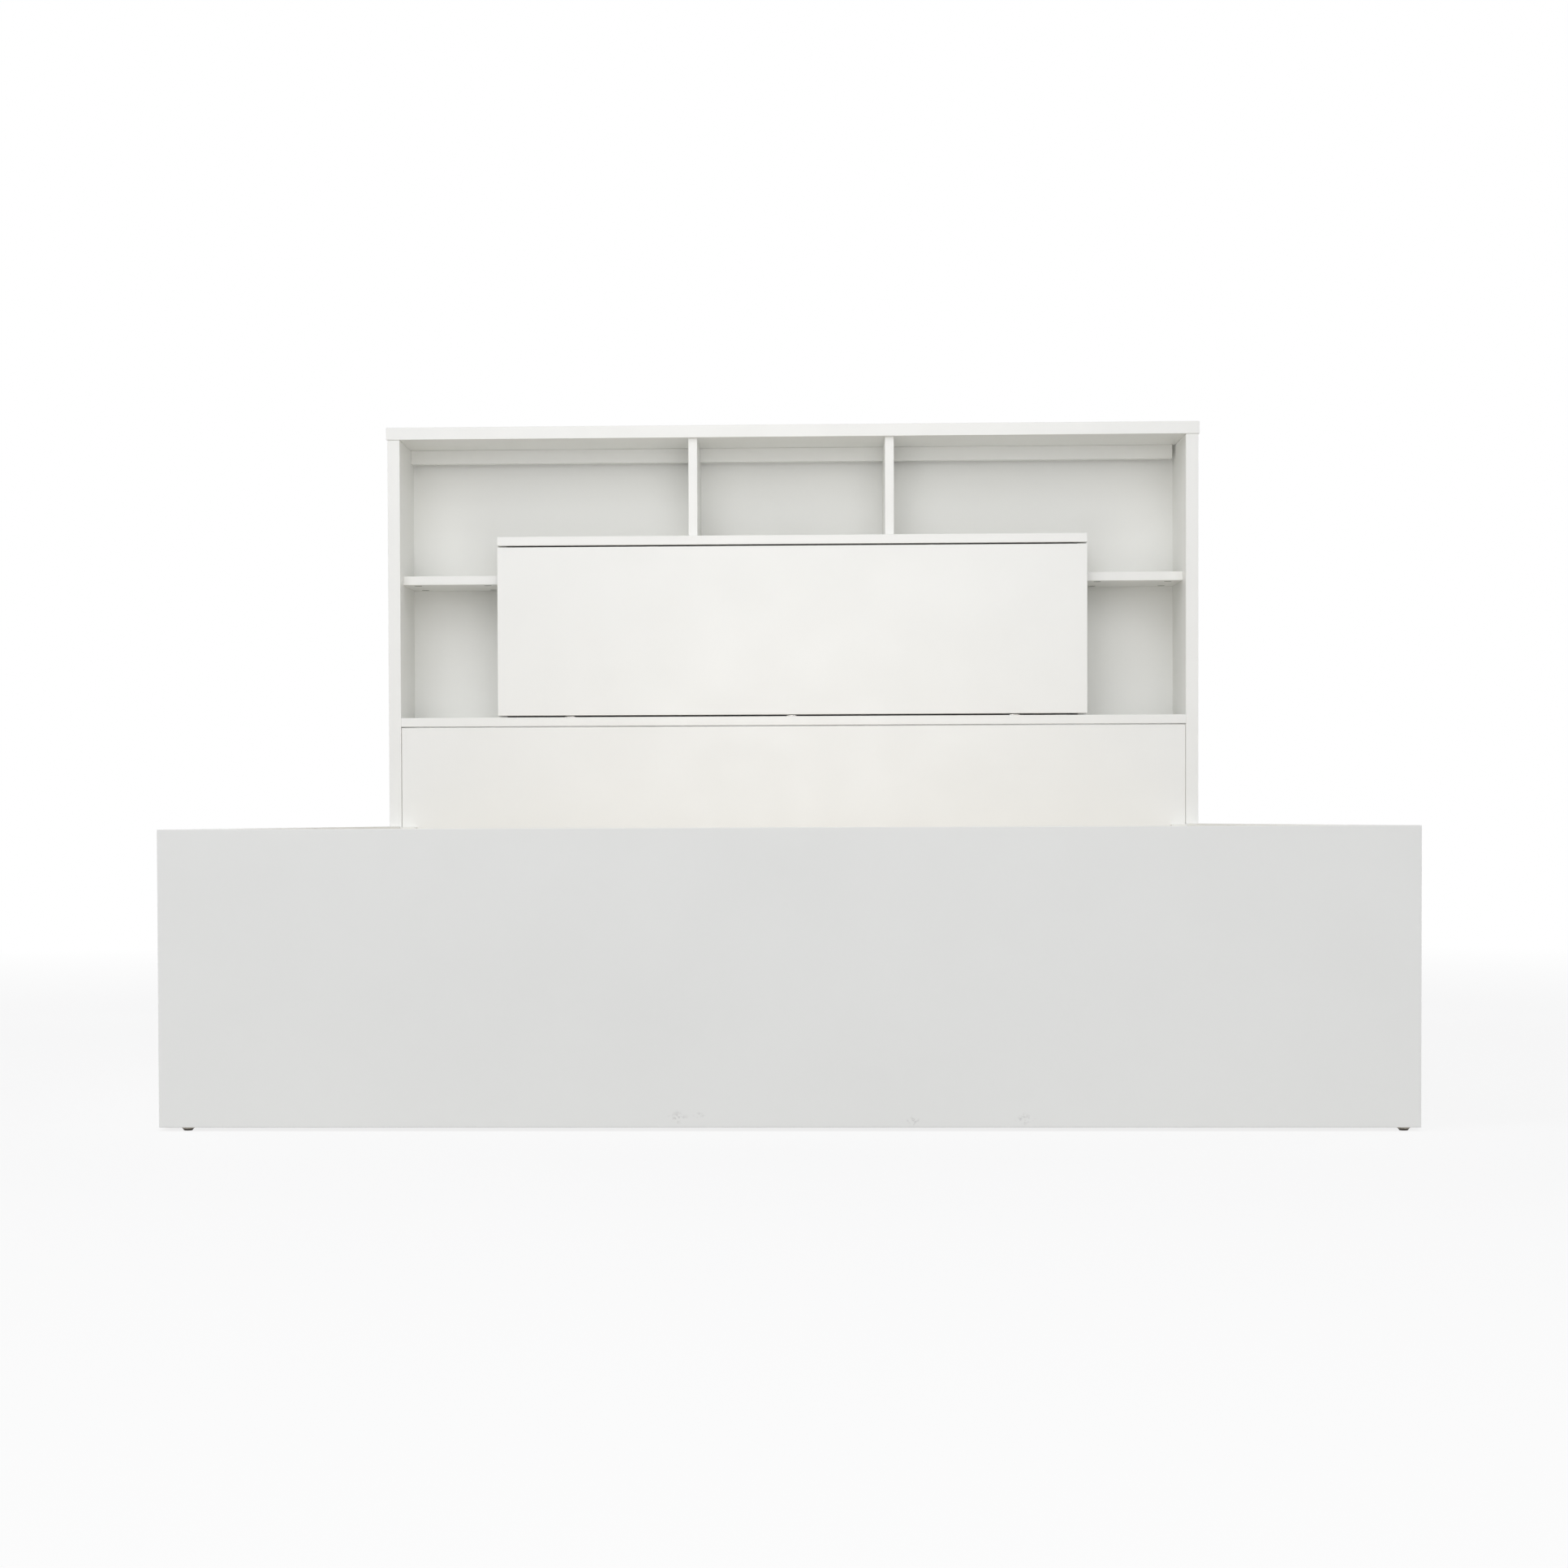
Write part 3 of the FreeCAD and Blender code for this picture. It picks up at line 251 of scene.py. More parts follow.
class Finish(Nodes):
    """A piece's material under construction, with a principled shader at its end."""

    def __init__(self, name):
        self.material = bpy.data.materials.new(name)
        self.material.use_nodes = True
        super().__init__(self.material.node_tree, "ShaderNodeOutputMaterial")
        self.surface = self.add("ShaderNodeBsdfPrincipled")
        self.feed(self.output.inputs["Surface"], self.surface.outputs[0])
        self.place = self.add("ShaderNodeTexCoord").outputs["Object"]

    def math(self, operation, first, second=0.0, clamp=False):
        """A plain calculation."""
        node = self.add("ShaderNodeMath", {0: first, 1: second}, operation=operation)
        node.use_clamp = clamp
        return node.outputs[0]

    def times(self, first, second):
        """A product."""
        return self.math("MULTIPLY", first, second)

    def plus(self, first, second, clamp=False):
        """A sum."""
        return self.math("ADD", first, second, clamp)

    def waves(self, value, pitch):
        """Even waves of a value, one for each pitch."""
        return self.math("SINE", self.times(value, 2.0 * math.pi / pitch))

    def vector(self, operation, first, second=(0.0, 0.0, 0.0)):
        """A calculation on two vectors."""
        node = self.add("ShaderNodeVectorMath", {0: first, 1: second}, operation=operation)
        return node.outputs[0]

    def split(self, vector):
        """The three numbers of a vector."""
        node = self.add("ShaderNodeSeparateXYZ", {0: vector})
        return tuple(node.outputs)

    def merge(self, x, y, z):
        """A vector from three numbers."""
        return self.add("ShaderNodeCombineXYZ", {0: x, 1: y, 2: z}).outputs[0]

    def noise(self, scale, detail=2.0, place=None, roughness=0.5):
        """Soft noise from 0 to 1."""
        node = self.add("ShaderNodeTexNoise", {"Vector": place or self.place, "Scale": scale,
                                               "Detail": detail, "Roughness": roughness})
        return node.outputs["Fac"]

    def cells(self, scale, place=None, output="Distance"):
        """Scattered cells, as their distance or colour."""
        node = self.add("ShaderNodeTexVoronoi", {"Vector": place or self.place, "Scale": scale})
        return node.outputs[output]

    def ramp(self, value, low, high, start=0.0, end=1.0):
        """A soft step of a value between two limits."""
        node = self.add("ShaderNodeMapRange", {"Value": value, "From Min": low, "From Max": high,
                                               "To Min": start, "To Max": end},
                        interpolation_type="SMOOTHSTEP")
        return node.outputs[0]

    def blend(self, amount, first, second):
        """Two colours mixed by an amount."""
        node = self.add("ShaderNodeMix", data_type="RGBA")
        self.feed(node.inputs[0], amount)
        self.feed(node.inputs[6], first)
        self.feed(node.inputs[7], second)
        return node.outputs[2]

    def tinted(self, base, value, spread):
        """A colour made lighter and darker by a value that swings round one half."""
        level = self.ramp(value, 0.25, 0.75, 1.0 - spread, 1.0 + spread)
        node = self.add("ShaderNodeVectorMath", {0: base}, operation="SCALE")
        self.feed(node.inputs["Scale"], level)
        return node.outputs[0]

    def relief(self, height, distance, strength=1.0, below=None):
        """A bump from a height, on top of another bump."""
        node = self.add("ShaderNodeBump", {"Height": height, "Distance": distance,
                                           "Strength": strength})
        if below is not None:
            self.feed(node.inputs["Normal"], below)
        return node.outputs[0]

    def own_normal(self):
        """The surface's normal in the piece's own axes, as positive numbers."""
        world = self.add("ShaderNodeNewGeometry").outputs["Normal"]
        own = self.add("ShaderNodeVectorTransform", {"Vector": world}, vector_type="NORMAL",
                       convert_from="WORLD", convert_to="OBJECT")
        return own.outputs[0]

    def finish(self, base=None, roughness=None, normal=None, **plain):
        """Fill the shader's inputs and return the material. Underlines stand for spaces."""
        for name, value in (("Base Color", base), ("Roughness", roughness), ("Normal", normal)):
            if value is not None:
                self.feed(self.surface.inputs[name], value)
        for name, value in plain.items():
            self.feed(self.surface.inputs[name.replace("_", " ")], value)
        return self.material


def shaded(tone, amount):
    """A colour made darker or lighter."""
    return tuple(amount * part for part in tone)


def foil_finish(name, boards, scuffed=False):
    """White foil on chipboard: satin, faintly mottled, rubbed along its rounded edges."""
    make = Finish(name)
    mottle = make.noise(2.3, 3.0)
    base = make.tinted(boards.foil, mottle, boards.mottle)
    handled = make.ramp(make.noise(9.0, 4.0), 0.52, 0.80, 0.0, 0.35)
    base = make.blend(make.times(handled, 0.12), base, boards.rub)
    normal = make.own_normal()
    straight = make.vector("ABSOLUTE", normal)
    side, front, up = make.split(straight)
    flatness = make.math("MAXIMUM", make.math("MAXIMUM", side, front), up)
    edge = make.ramp(flatness, 0.999, 0.90)
    worn = make.times(edge, make.ramp(make.noise(38.0, 3.0), 0.50, 0.72))
    base = make.blend(make.times(worn, 0.30), base, boards.rub)
    x, _, z = make.split(make.place)
    if scuffed:
        marks = 0.0
        for middle, level, reach in SCUFFS:
            aside = make.times(make.plus(x, -middle), 0.6)
            away = make.math("ABSOLUTE", make.plus(z, -level))
            near = make.ramp(make.plus(make.math("ABSOLUTE", aside), away), reach, 0.0)
            marks = make.math("MAXIMUM", marks, near)
        broken = make.ramp(make.noise(260.0, 3.0), 0.47, 0.60)
        marks = make.times(marks, broken)
        base = make.blend(make.times(marks, 0.45), base, boards.scuff)
    under = make.times(make.ramp(make.split(normal)[2], -0.97, -0.995),
                       make.ramp(z, 0.0065, 0.005))
    chip_place = make.vector("MULTIPLY", make.place, (1.0, 1.0, 3.0))
    chips = make.cells(CHIP_SCALE, chip_place, "Color")
    chip_tone = make.split(chips)[0]
    core = make.blend(chip_tone, boards.chip_dark, boards.chip_light)
    base = make.blend(under, base, core)
    roughness = make.ramp(make.noise(11.0, 3.0), 0.3, 0.7, boards.gloss - 0.05, boards.gloss + 0.07)
    roughness = make.plus(roughness, make.times(under, 0.4), clamp=True)
    waves = make.relief(make.noise(22.0, 1.0), 0.0004, 0.25)
    grain = make.relief(make.noise(1.0 / boards.grain_size, 2.0), 0.00004, 0.5, waves)
    rough_core = make.times(make.cells(CHIP_SCALE, chip_place), under)
    grain = make.relief(rough_core, 0.0004, 0.8, grain)
    return make.finish(base, roughness, grain)


def back_finish(name, boards):
    """Thin hardboard: white foil on its front, brown with pressed mesh on its rear."""
    make = Finish(name)
    x, y, z = make.split(make.place)
    low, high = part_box("head_back_panel")
    rear = make.ramp(y, low.y + 0.6 * (high.y - low.y), low.y + 0.8 * (high.y - low.y))
    front = make.tinted(boards.foil, make.noise(2.0, 3.0), boards.mottle)
    fibres = make.noise(260.0, 5.0, make.vector("MULTIPLY", make.place, (1.0, 1.0, 0.45)), 0.7)
    clouds = make.noise(5.0, 4.0)
    tone = make.plus(make.ramp(fibres, 0.35, 0.68, 0.0, 0.7),
                     make.ramp(clouds, 0.3, 0.7, -0.15, 0.25), clamp=True)
    brown = make.blend(tone, boards.hardboard, boards.hardboard_dark)
    mesh = make.times(make.waves(x, DIMPLE_PITCH), make.waves(z, DIMPLE_PITCH))
    pressed = make.times(make.ramp(mesh, -1.0, 1.0), rear)
    grain = make.relief(make.noise(1.0 / boards.grain_size, 2.0), 0.00004, 0.5)
    relief = make.relief(pressed, 0.00022, 0.7, grain)
    roughness = make.plus(make.ramp(clouds, 0.3, 0.7, boards.gloss, boards.gloss + 0.08),
                          make.times(rear, 0.25))
    return make.finish(make.blend(rear, front, brown), roughness, relief)


def timber_finish(name, along, early, late, knot, pitch, knots=True):
    """Planed wood whose fibres run along one axis, with year rings and knots."""
    make = Finish(name)
    axes = list(make.split(make.place))
    run = axes.pop("xyz".index(along))
    luck = make.add("ShaderNodeObjectInfo").outputs["Random"]
    run = make.plus(run, make.times(luck, 7.3))
    across = make.plus(axes[0], make.times(luck, 3.1))
    depth = make.plus(axes[1], make.times(luck, 0.07))
    bent = make.merge(make.times(run, 0.9), make.times(across, 7.0), make.times(depth, 7.0))
    wander = make.ramp(make.noise(1.0, 3.0, bent), 0.2, 0.8, -0.014, 0.014)
    knot_place = make.merge(make.times(run, 2.6), make.times(across, 7.5), 0.0)
    nearness = make.cells(1.0, knot_place)
    swirl = make.ramp(nearness, 0.30, 0.02, 0.0, 0.011)
    folded = make.math("PINGPONG", across, 0.12)
    squares = make.plus(make.math("POWER", folded, 2.0),
                        make.math("POWER", make.plus(depth, 0.03), 2.0))
    radius = make.plus(make.plus(make.math("SQRT", squares), wander), swirl)
    phase = make.math("FRACT", make.math("DIVIDE", radius, pitch))
    ring = make.times(make.ramp(phase, 0.35, 0.92), make.ramp(phase, 1.0, 0.94))
    thread = make.merge(make.times(run, 14.0), make.times(across, 950.0),
                        make.times(depth, 950.0))
    fibre = make.noise(1.0, 3.0, thread)
    base = make.blend(make.times(ring, 0.75), early, late)
    base = make.tinted(base, fibre, 0.10)
    base = make.tinted(base, make.noise(1.0, 2.0, bent), 0.07)
    if knots:
        heart = make.times(make.ramp(nearness, 0.060, 0.035), 0.85)
        base = make.blend(heart, base, knot)
    base = make.tinted(base, luck, 0.06)
    roughness = make.ramp(fibre, 0.3, 0.7, 0.52, 0.70)
    relief = make.relief(make.plus(fibre, make.times(ring, -0.6)), 0.00012, 0.6)
    return make.finish(base, roughness, relief)


def metal_finish(name, tone, other, roughness, graininess=0.4):
    """Plated or cast metal with a faint patchy tint and fine marks."""
    make = Finish(name)
    patches = make.ramp(make.noise(60.0, 3.0), 0.40, 0.75)
    base = make.blend(make.times(patches, 0.6), tone, other)
    fine = make.noise(2600.0, 3.0)
    rough = make.ramp(make.noise(240.0, 4.0), 0.3, 0.7, roughness - 0.07, roughness + 0.12)
    base = make.tinted(base, fine, 0.05)
    return make.finish(base, rough, make.relief(fine, 0.00003, graininess), Metallic=1.0)


def plastic_finish(name, tone, roughness, spread=0.04, relief=0.00003, soft=0.0):
    """Moulded plastic or rubber with a fine spark-eroded grain."""
    make = Finish(name)
    base = make.tinted(tone, make.noise(70.0, 3.0), spread)
    grain = make.noise(2200.0, 2.0)
    rough = make.ramp(make.noise(180.0, 3.0), 0.3, 0.7, roughness - 0.06, roughness + 0.08)
    return make.finish(base, rough, make.relief(grain, relief, 0.6), Subsurface_Weight=soft,
                       Subsurface_Scale=0.002)


def sole_finish(name, tone):
    """Dark glide sole, worn and scratched by the floor."""
    make = Finish(name)
    scratched = make.noise(700.0, 4.0, make.vector("MULTIPLY", make.place, (1.0, 0.15, 1.0)))
    base = make.tinted(tone, scratched, 0.35)
    rough = make.ramp(scratched, 0.3, 0.7, 0.45, 0.75)
    return make.finish(base, rough, make.relief(scratched, 0.00008, 0.7))


def webbing_finish(name, tone):
    """Plain woven tape, whose threads follow the tape's own map, in metres."""
    make = Finish(name)
    woven = make.add("ShaderNodeUVMap", uv_map="weave").outputs[0]
    across, along, _ = make.split(woven)
    crossing = make.times(make.waves(along, WEFT_PITCH), make.waves(across, WARP_PITCH))
    threads = make.ramp(crossing, -1.0, 1.0)
    fuzz = make.noise(1500.0, 4.0)
    height = make.plus(threads, make.times(fuzz, 0.5))
    base = make.tinted(tone, height, 0.16)
    base = make.tinted(base, make.noise(14.0, 3.0), 0.05)
    return make.finish(base, make.ramp(fuzz, 0.3, 0.7, 0.72, 0.9),
                       make.relief(height, 0.00022, 0.9), Sheen_Weight=0.25)


# ---------------------------------------------------------------- nodes of the frame
def nodes_in_slot(slot):
    """The CAD nodes whose record names this material slot."""
    return [part["node"] for part in frame["record"]["subparts"] if part["material_slot"] == slot]


def give_finish(nodes, material):
    """Put a material on CAD nodes, whose shape stays as it is."""
    for name in nodes:
        for held in frame["nodes"][name].material_slots:
            held.material = material


def merged_copy(node):
    """A copy of a CAD node's mesh as whole faces with shared corners."""
    mesh = bmesh.new()
    mesh.from_mesh(frame["nodes"][node].data)
    bmesh.ops.remove_doubles(mesh, verts=mesh.verts, dist=0.002 * MM)
    bmesh.ops.dissolve_limit(mesh, angle_limit=math.radians(1.0), verts=mesh.verts,
                             edges=mesh.edges)
    return mesh


def islands(mesh):
    """The corners of each separate solid in a mesh."""
    waiting = set(mesh.verts)
    found = []
    while waiting:
        reached = [waiting.pop()]
        for vert in reached:
            for edge in vert.link_edges:
                other = edge.other_vert(vert)
                if other in waiting:
                    waiting.discard(other)
                    reached.append(other)
        found.append([vert.co.copy() for vert in reached])
    return sorted(found, key=lambda corners: tuple(round(sum(values), 4)
                                                   for values in zip(*corners)))


def limits(corners):
    """The lowest and highest corner round some points."""
    return (Vector(min(values) for values in zip(*corners)),
            Vector(max(values) for values in zip(*corners)))


def solids(node):
    """The lowest and highest corner of each solid of a CAD node."""
    mesh = merged_copy(node)
    found = [limits(corners) for corners in islands(mesh)]
    mesh.free()
    return found


def discs(node, axis):
    """Radius and thickness of a CAD node's like round solids, and the box of each."""
    boxes = solids(node)
    size = boxes[0][1] - boxes[0][0]
    return size.x / 2.0, getattr(size, axis), boxes


def centre_of(box, **levels):
    """The middle of a box, with the coordinates that are given put in its place."""
    low, high = box
    spot = (low + high) / 2.0
    for axis, level in levels.items():
        setattr(spot, axis, level)
    return spot


def fasteners(node):
    """Each screw or bolt of a CAD node: its head's outer face, direction out, head radius,
    shank radius and whole length."""
    mesh = merged_copy(node)
    found = []
    for corners in islands(mesh):
        low, high = limits(corners)
        size = high - low
        axis = max(range(3), key=lambda index: size[index])
        middle = (low + high) / 2.0
        ends = []
        for level in (low[axis], high[axis]):
            near = [corner for corner in corners if abs(corner[axis] - level) < 0.05 * MM]
            ends.append(max((corner - middle).length_squared - (level - middle[axis]) ** 2
                            for corner in near) ** 0.5)
        outwards = Vector((0.0, 0.0, 0.0))
        outwards[axis] = -1.0 if ends[0] > ends[1] else 1.0
        place = middle.copy()
        place[axis] = low[axis] if ends[0] > ends[1] else high[axis]
        found.append((place, outwards, max(ends), min(ends), size[axis]))
    mesh.free()
    return found


# ---------------------------------------------------------------- shapes
def turned_to(place, outwards):
    """The matrix that lays a pattern's Z axis along a direction, at a place."""
    return Matrix.Translation(place) @ Vector(outwards).to_track_quat("Z", "Y").to_matrix().to_4x4()


def cross(reach, half_width):
    """The outline of a cross recess, as a radius for each angle."""
    def radius(angle):
        turn = abs((angle + math.pi / 4.0) % (math.pi / 2.0) - math.pi / 4.0)
        return min(reach / math.cos(turn), half_width / max(math.sin(turn), 1e-6))
    return radius


def hexagon(corner):
    """The outline of a six-sided socket, as a radius for each angle."""
    def radius(angle):
        turn = angle % (math.pi / 3.0) - math.pi / 6.0
        return corner * math.cos(math.pi / 6.0) / math.cos(turn)
    return radius


def pattern(sections, count=24):
    """A closed form grown ring by ring. Each section is a level, a reach and maybe a spread.

    The reach is the ring's radius, or gives it for an angle. The spread pulls its halves apart.
    """
    mesh = bmesh.new()
    turn = mesh.verts.layers.float.new("turn")
    verts = bmesh.ops.create_circle(mesh, cap_ends=False, segments=count, radius=1.0)["verts"]
    spreads = any(len(section) > 2 for section in sections)
    for vert in verts:
        vert[turn] = math.atan2(vert.co.y, vert.co.x) + (math.pi / count if spreads else 0.0)
    first = edges = list(mesh.edges)
    for number, (level, reach, *spread) in enumerate(sections):
        if number:
            grown = bmesh.ops.extrude_edge_only(mesh, edges=edges)["geom"]
            verts = [item for item in grown if isinstance(item, bmesh.types.BMVert)]
            edges = [item for item in grown
                     if isinstance(item, bmesh.types.BMEdge) and item.is_boundary]
        for vert in verts:
            radius = reach(vert[turn]) if callable(reach) else reach
            vert.co = (radius * math.cos(vert[turn]), radius * math.sin(vert[turn]), level)
            if spread:
                vert.co.x += math.copysign(spread[0], vert.co.x)
    for end in (first, edges):
        bmesh.ops.edgeloop_fill(mesh, edges=end)
    return mesh


def settled(name, mesh):
    """The finished mesh of a shape that was modelled."""
    data = bpy.data.meshes.new(name)
    mesh.to_mesh(data)
    mesh.free()
    return data


def shown(name, data):
    """A new object in the scene."""
    thing = bpy.data.objects.new(name, data)
    bpy.context.scene.collection.objects.link(thing)
    return thing


def repeated(single, places):
    """A mesh with a copy of a pattern at each place."""
    held = settled("pattern", single)
    whole = bmesh.new()
    for place in places:
        before = len(whole.verts)
        whole.from_mesh(held)
        whole.verts.ensure_lookup_table()
        bmesh.ops.transform(whole, matrix=place, verts=whole.verts[before:])
    bpy.data.meshes.remove(held)
    return whole


def block(mesh, low, high, rounding=0.0, segments=2):
    """A block between two corners, with rounded edges."""
    low, high = Vector(low), Vector(high)
    matrix = Matrix.Translation((low + high) / 2.0) @ Matrix.Diagonal((*(high - low), 1.0))
    made = bmesh.ops.create_cube(mesh, size=1.0, matrix=matrix)
    if rounding:
        edges = list({edge for vert in made["verts"] for edge in vert.link_edges})
        soften(mesh, edges, rounding, segments)


def soften(mesh, edges, rounding, segments=2):
    """Round some edges."""
    bmesh.ops.bevel(mesh, geom=edges, offset=rounding, offset_type="OFFSET", segments=segments,
                    profile=0.5, affect="EDGES", clamp_overlap=True, material=-1)


def softened_copy(node, rounding):
    """A CAD node's form with its hard edges rounded."""
    mesh = merged_copy(node)
    hard = [edge for edge in mesh.edges
            if edge.is_manifold and edge.calc_face_angle() > HARD_ABOVE]
    soften(mesh, hard, rounding)
    return mesh


def add_piece(name, mesh, material, body, replaced=()):
    """Make a finished piece from a mesh, riding on a body and standing for CAD nodes."""
    bmesh.ops.recalc_face_normals(mesh, faces=mesh.faces)
    data = settled(name, mesh)
    if not data.polygons:
        raise RuntimeError(f"{name} has no faces")
    data.polygons.foreach_set("use_smooth", [True] * len(data.polygons))
    data.set_sharp_from_angle(angle=SMOOTH_BELOW)
    data.materials.append(material)
    piece = shown(name, data)
    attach(piece, body)
    if replaced:
        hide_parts(*replaced)
    return piece


# ---------------------------------------------------------------- stage
class BED_OT_stage(bpy.types.Operator):
    """Plain pale floor, white surroundings, soft lamps and the camera"""
    bl_idname = "bed.stage"
    bl_label = "Stage"

    def execute(self, context):
        setup = context.scene.bed_stage
        self.floor(setup)
        self.surroundings(context.scene, setup)
        for name, (strength_name, *angles) in DISTANT_LIGHTS.items():
            self.distant(name, getattr(setup, strength_name), *angles)
        for name, (power_name, width_name, place, target) in SQUARE_LAMPS.items():
            self.lamp(name, getattr(setup, power_name), getattr(setup, width_name),
                      Vector(place), Vector(target))
        self.camera(context.scene, setup)
        context.scene.view_settings.view_transform = "Standard"
        return {"FINISHED"}

    def floor(self, setup):
        """A wide floor that shows the bed's shadow."""
        mesh = bmesh.new()
        bmesh.ops.create_grid(mesh, x_segments=8, y_segments=8, size=FLOOR_REACH)
        data = settled("floor", mesh)
        material = bpy.data.materials.new("floor_paint")
        material.use_nodes = True
        make = Nodes(material.node_tree, "ShaderNodeOutputMaterial")
        matt, bounce = (make.add("ShaderNodeBsdfDiffuse", {"Color": tone})
                        for tone in (setup.floor, setup.floor_bounce))
        place = make.add("ShaderNodeTexCoord").outputs["Object"]
        away = make.add("ShaderNodeVectorMath", {0: place}, operation="LENGTH").outputs["Value"]
        glow = make.add("ShaderNodeMapRange", {"Value": away, "From Min": 0.4 * setup.floor_fade,
                                               "From Max": setup.floor_fade,
                                               "To Min": setup.floor_glow})
        white = make.add("ShaderNodeEmission")
        faint = make.add("ShaderNodeMixShader",
                         {0: glow.outputs[0], 1: matt.outputs[0], 2: white.outputs[0]})
        make.end_seen_as(bounce, faint)
        data.materials.append(material)
        floor = shown("floor", data)

    def surroundings(self, scene, setup):
        """Even light from all round, seen as plain white."""
        scene.world = bpy.data.worlds.new("surroundings")
        scene.world.use_nodes = True
        make = Nodes(scene.world.node_tree, "ShaderNodeOutputWorld")
        soft = make.add("ShaderNodeBackground",
                        {"Color": setup.lamp_tint, "Strength": setup.ambient})
        white = make.add("ShaderNodeBackground", {"Color": (1.0, 1.0, 1.0)})
        make.end_seen_as(soft, white)

    def light(self, name, kind, strength, matrix):
        """A light of the shared tint, with its place and turn."""
        data = bpy.data.lights.new(name, kind)
        data.energy = strength
        data.color = bpy.context.scene.bed_stage.lamp_tint
        light = shown(name, data)
        light.matrix_world = matrix
        return light

    def distant(self, name, strength, azimuth, elevation, spread):
        """A wide soft light from far off."""
        aside, above = math.radians(azimuth), math.radians(elevation)
        back = Vector((math.sin(aside) * math.cos(above), -math.cos(aside) * math.cos(above),
                       math.sin(above)))
        light = self.light(name, "SUN", strength, turned_to(back * 6.0, back))
        light.data.angle = math.radians(spread)

    def lamp(self, name, power, width, place, target):
        """A square soft lamp that faces the bed."""
        light = self.light(name, "AREA", power, turned_to(place, place - target))
        light.data.shape = "SQUARE"
        light.data.size = width
        light.visible_camera = False

    def camera(self, scene, setup):
        """The camera low in front of the foot board, a little to the right."""
        yaw, pitch, roll = (math.radians(angle) for angle in CAMERA_TURNS)
        ahead = Vector((-math.sin(yaw) * math.cos(pitch), math.cos(yaw) * math.cos(pitch),
                        math.sin(pitch)))
        level = Vector((math.cos(yaw), math.sin(yaw), 0.0))
        above = level.cross(ahead)
        right = level * math.cos(roll) + above * math.sin(roll)
        up = above * math.cos(roll) - level * math.sin(roll)
        data = bpy.data.cameras.new("camera")
        data.sensor_fit = "HORIZONTAL"
        data.sensor_width = SENSOR_WIDTH
        data.lens = setup.focal_length
        data.shift_x, data.shift_y = CAMERA_SHIFT
        camera = shown("camera", data)
        turn = Matrix((right, up, -ahead)).transposed().to_4x4()
        camera.matrix_world = Matrix.Translation(CAMERA_PLACE) @ turn
        scene.camera = camera


# ---------------------------------------------------------------- boards and timbers
class BED_OT_white_boards(bpy.types.Operator):
    """Satin white foil on every board of the bed and the headboard"""
    bl_idname = "bed.white_boards"
    bl_label = "White boards"

    def execute(self, context):
        boards = context.scene.bed_boards
        names = nodes_in_slot("white_board")
        give_finish(names, foil_finish("white_foil", boards))
        give_finish(["foot_board"], foil_finish("white_foil_scuffed", boards, scuffed=True))
        return {"FINISHED"}


class BED_OT_back_panel(bpy.types.Operator):
    """White foil on the thin back's front, plain brown hardboard on its rear"""
    bl_idname = "bed.back_panel"
    bl_label = "Back panel"

    def execute(self, context):
        give_finish(nodes_in_slot("back_board"), back_finish("hardboard", context.scene.bed_boards))
        return {"FINISHED"}


class BED_OT_timbers(bpy.types.Operator):
    """Planed softwood for slats, cleats, beam and legs, and beech for the dowels"""
    bl_idname = "bed.timbers"
    bl_label = "Timbers"

    def execute(self, context):
        wood = context.scene.bed_timber
        tones = (wood.early, wood.late, wood.knot, wood.ring_pitch)
        beams = nodes_in_slot("frame_wood")
        upright = [name for name in beams if name.startswith("centre_leg")]
        lengthwise = [name for name in beams if name not in upright]
        give_finish(nodes_in_slot("slat_wood"), timber_finish("slat_pine", "x", *tones))
        give_finish(lengthwise, timber_finish("rail_pine", "y", *tones))
        give_finish(upright, timber_finish("leg_pine", "z", *tones))
        beech, fine_rings = wood.beech, 0.4 * wood.ring_pitch
        give_finish(nodes_in_slot("dowel_wood"),
                    timber_finish("dowel_beech", "x", beech, shaded(beech, 0.8), beech, fine_rings,
                                  knots=False))
        return {"FINISHED"}


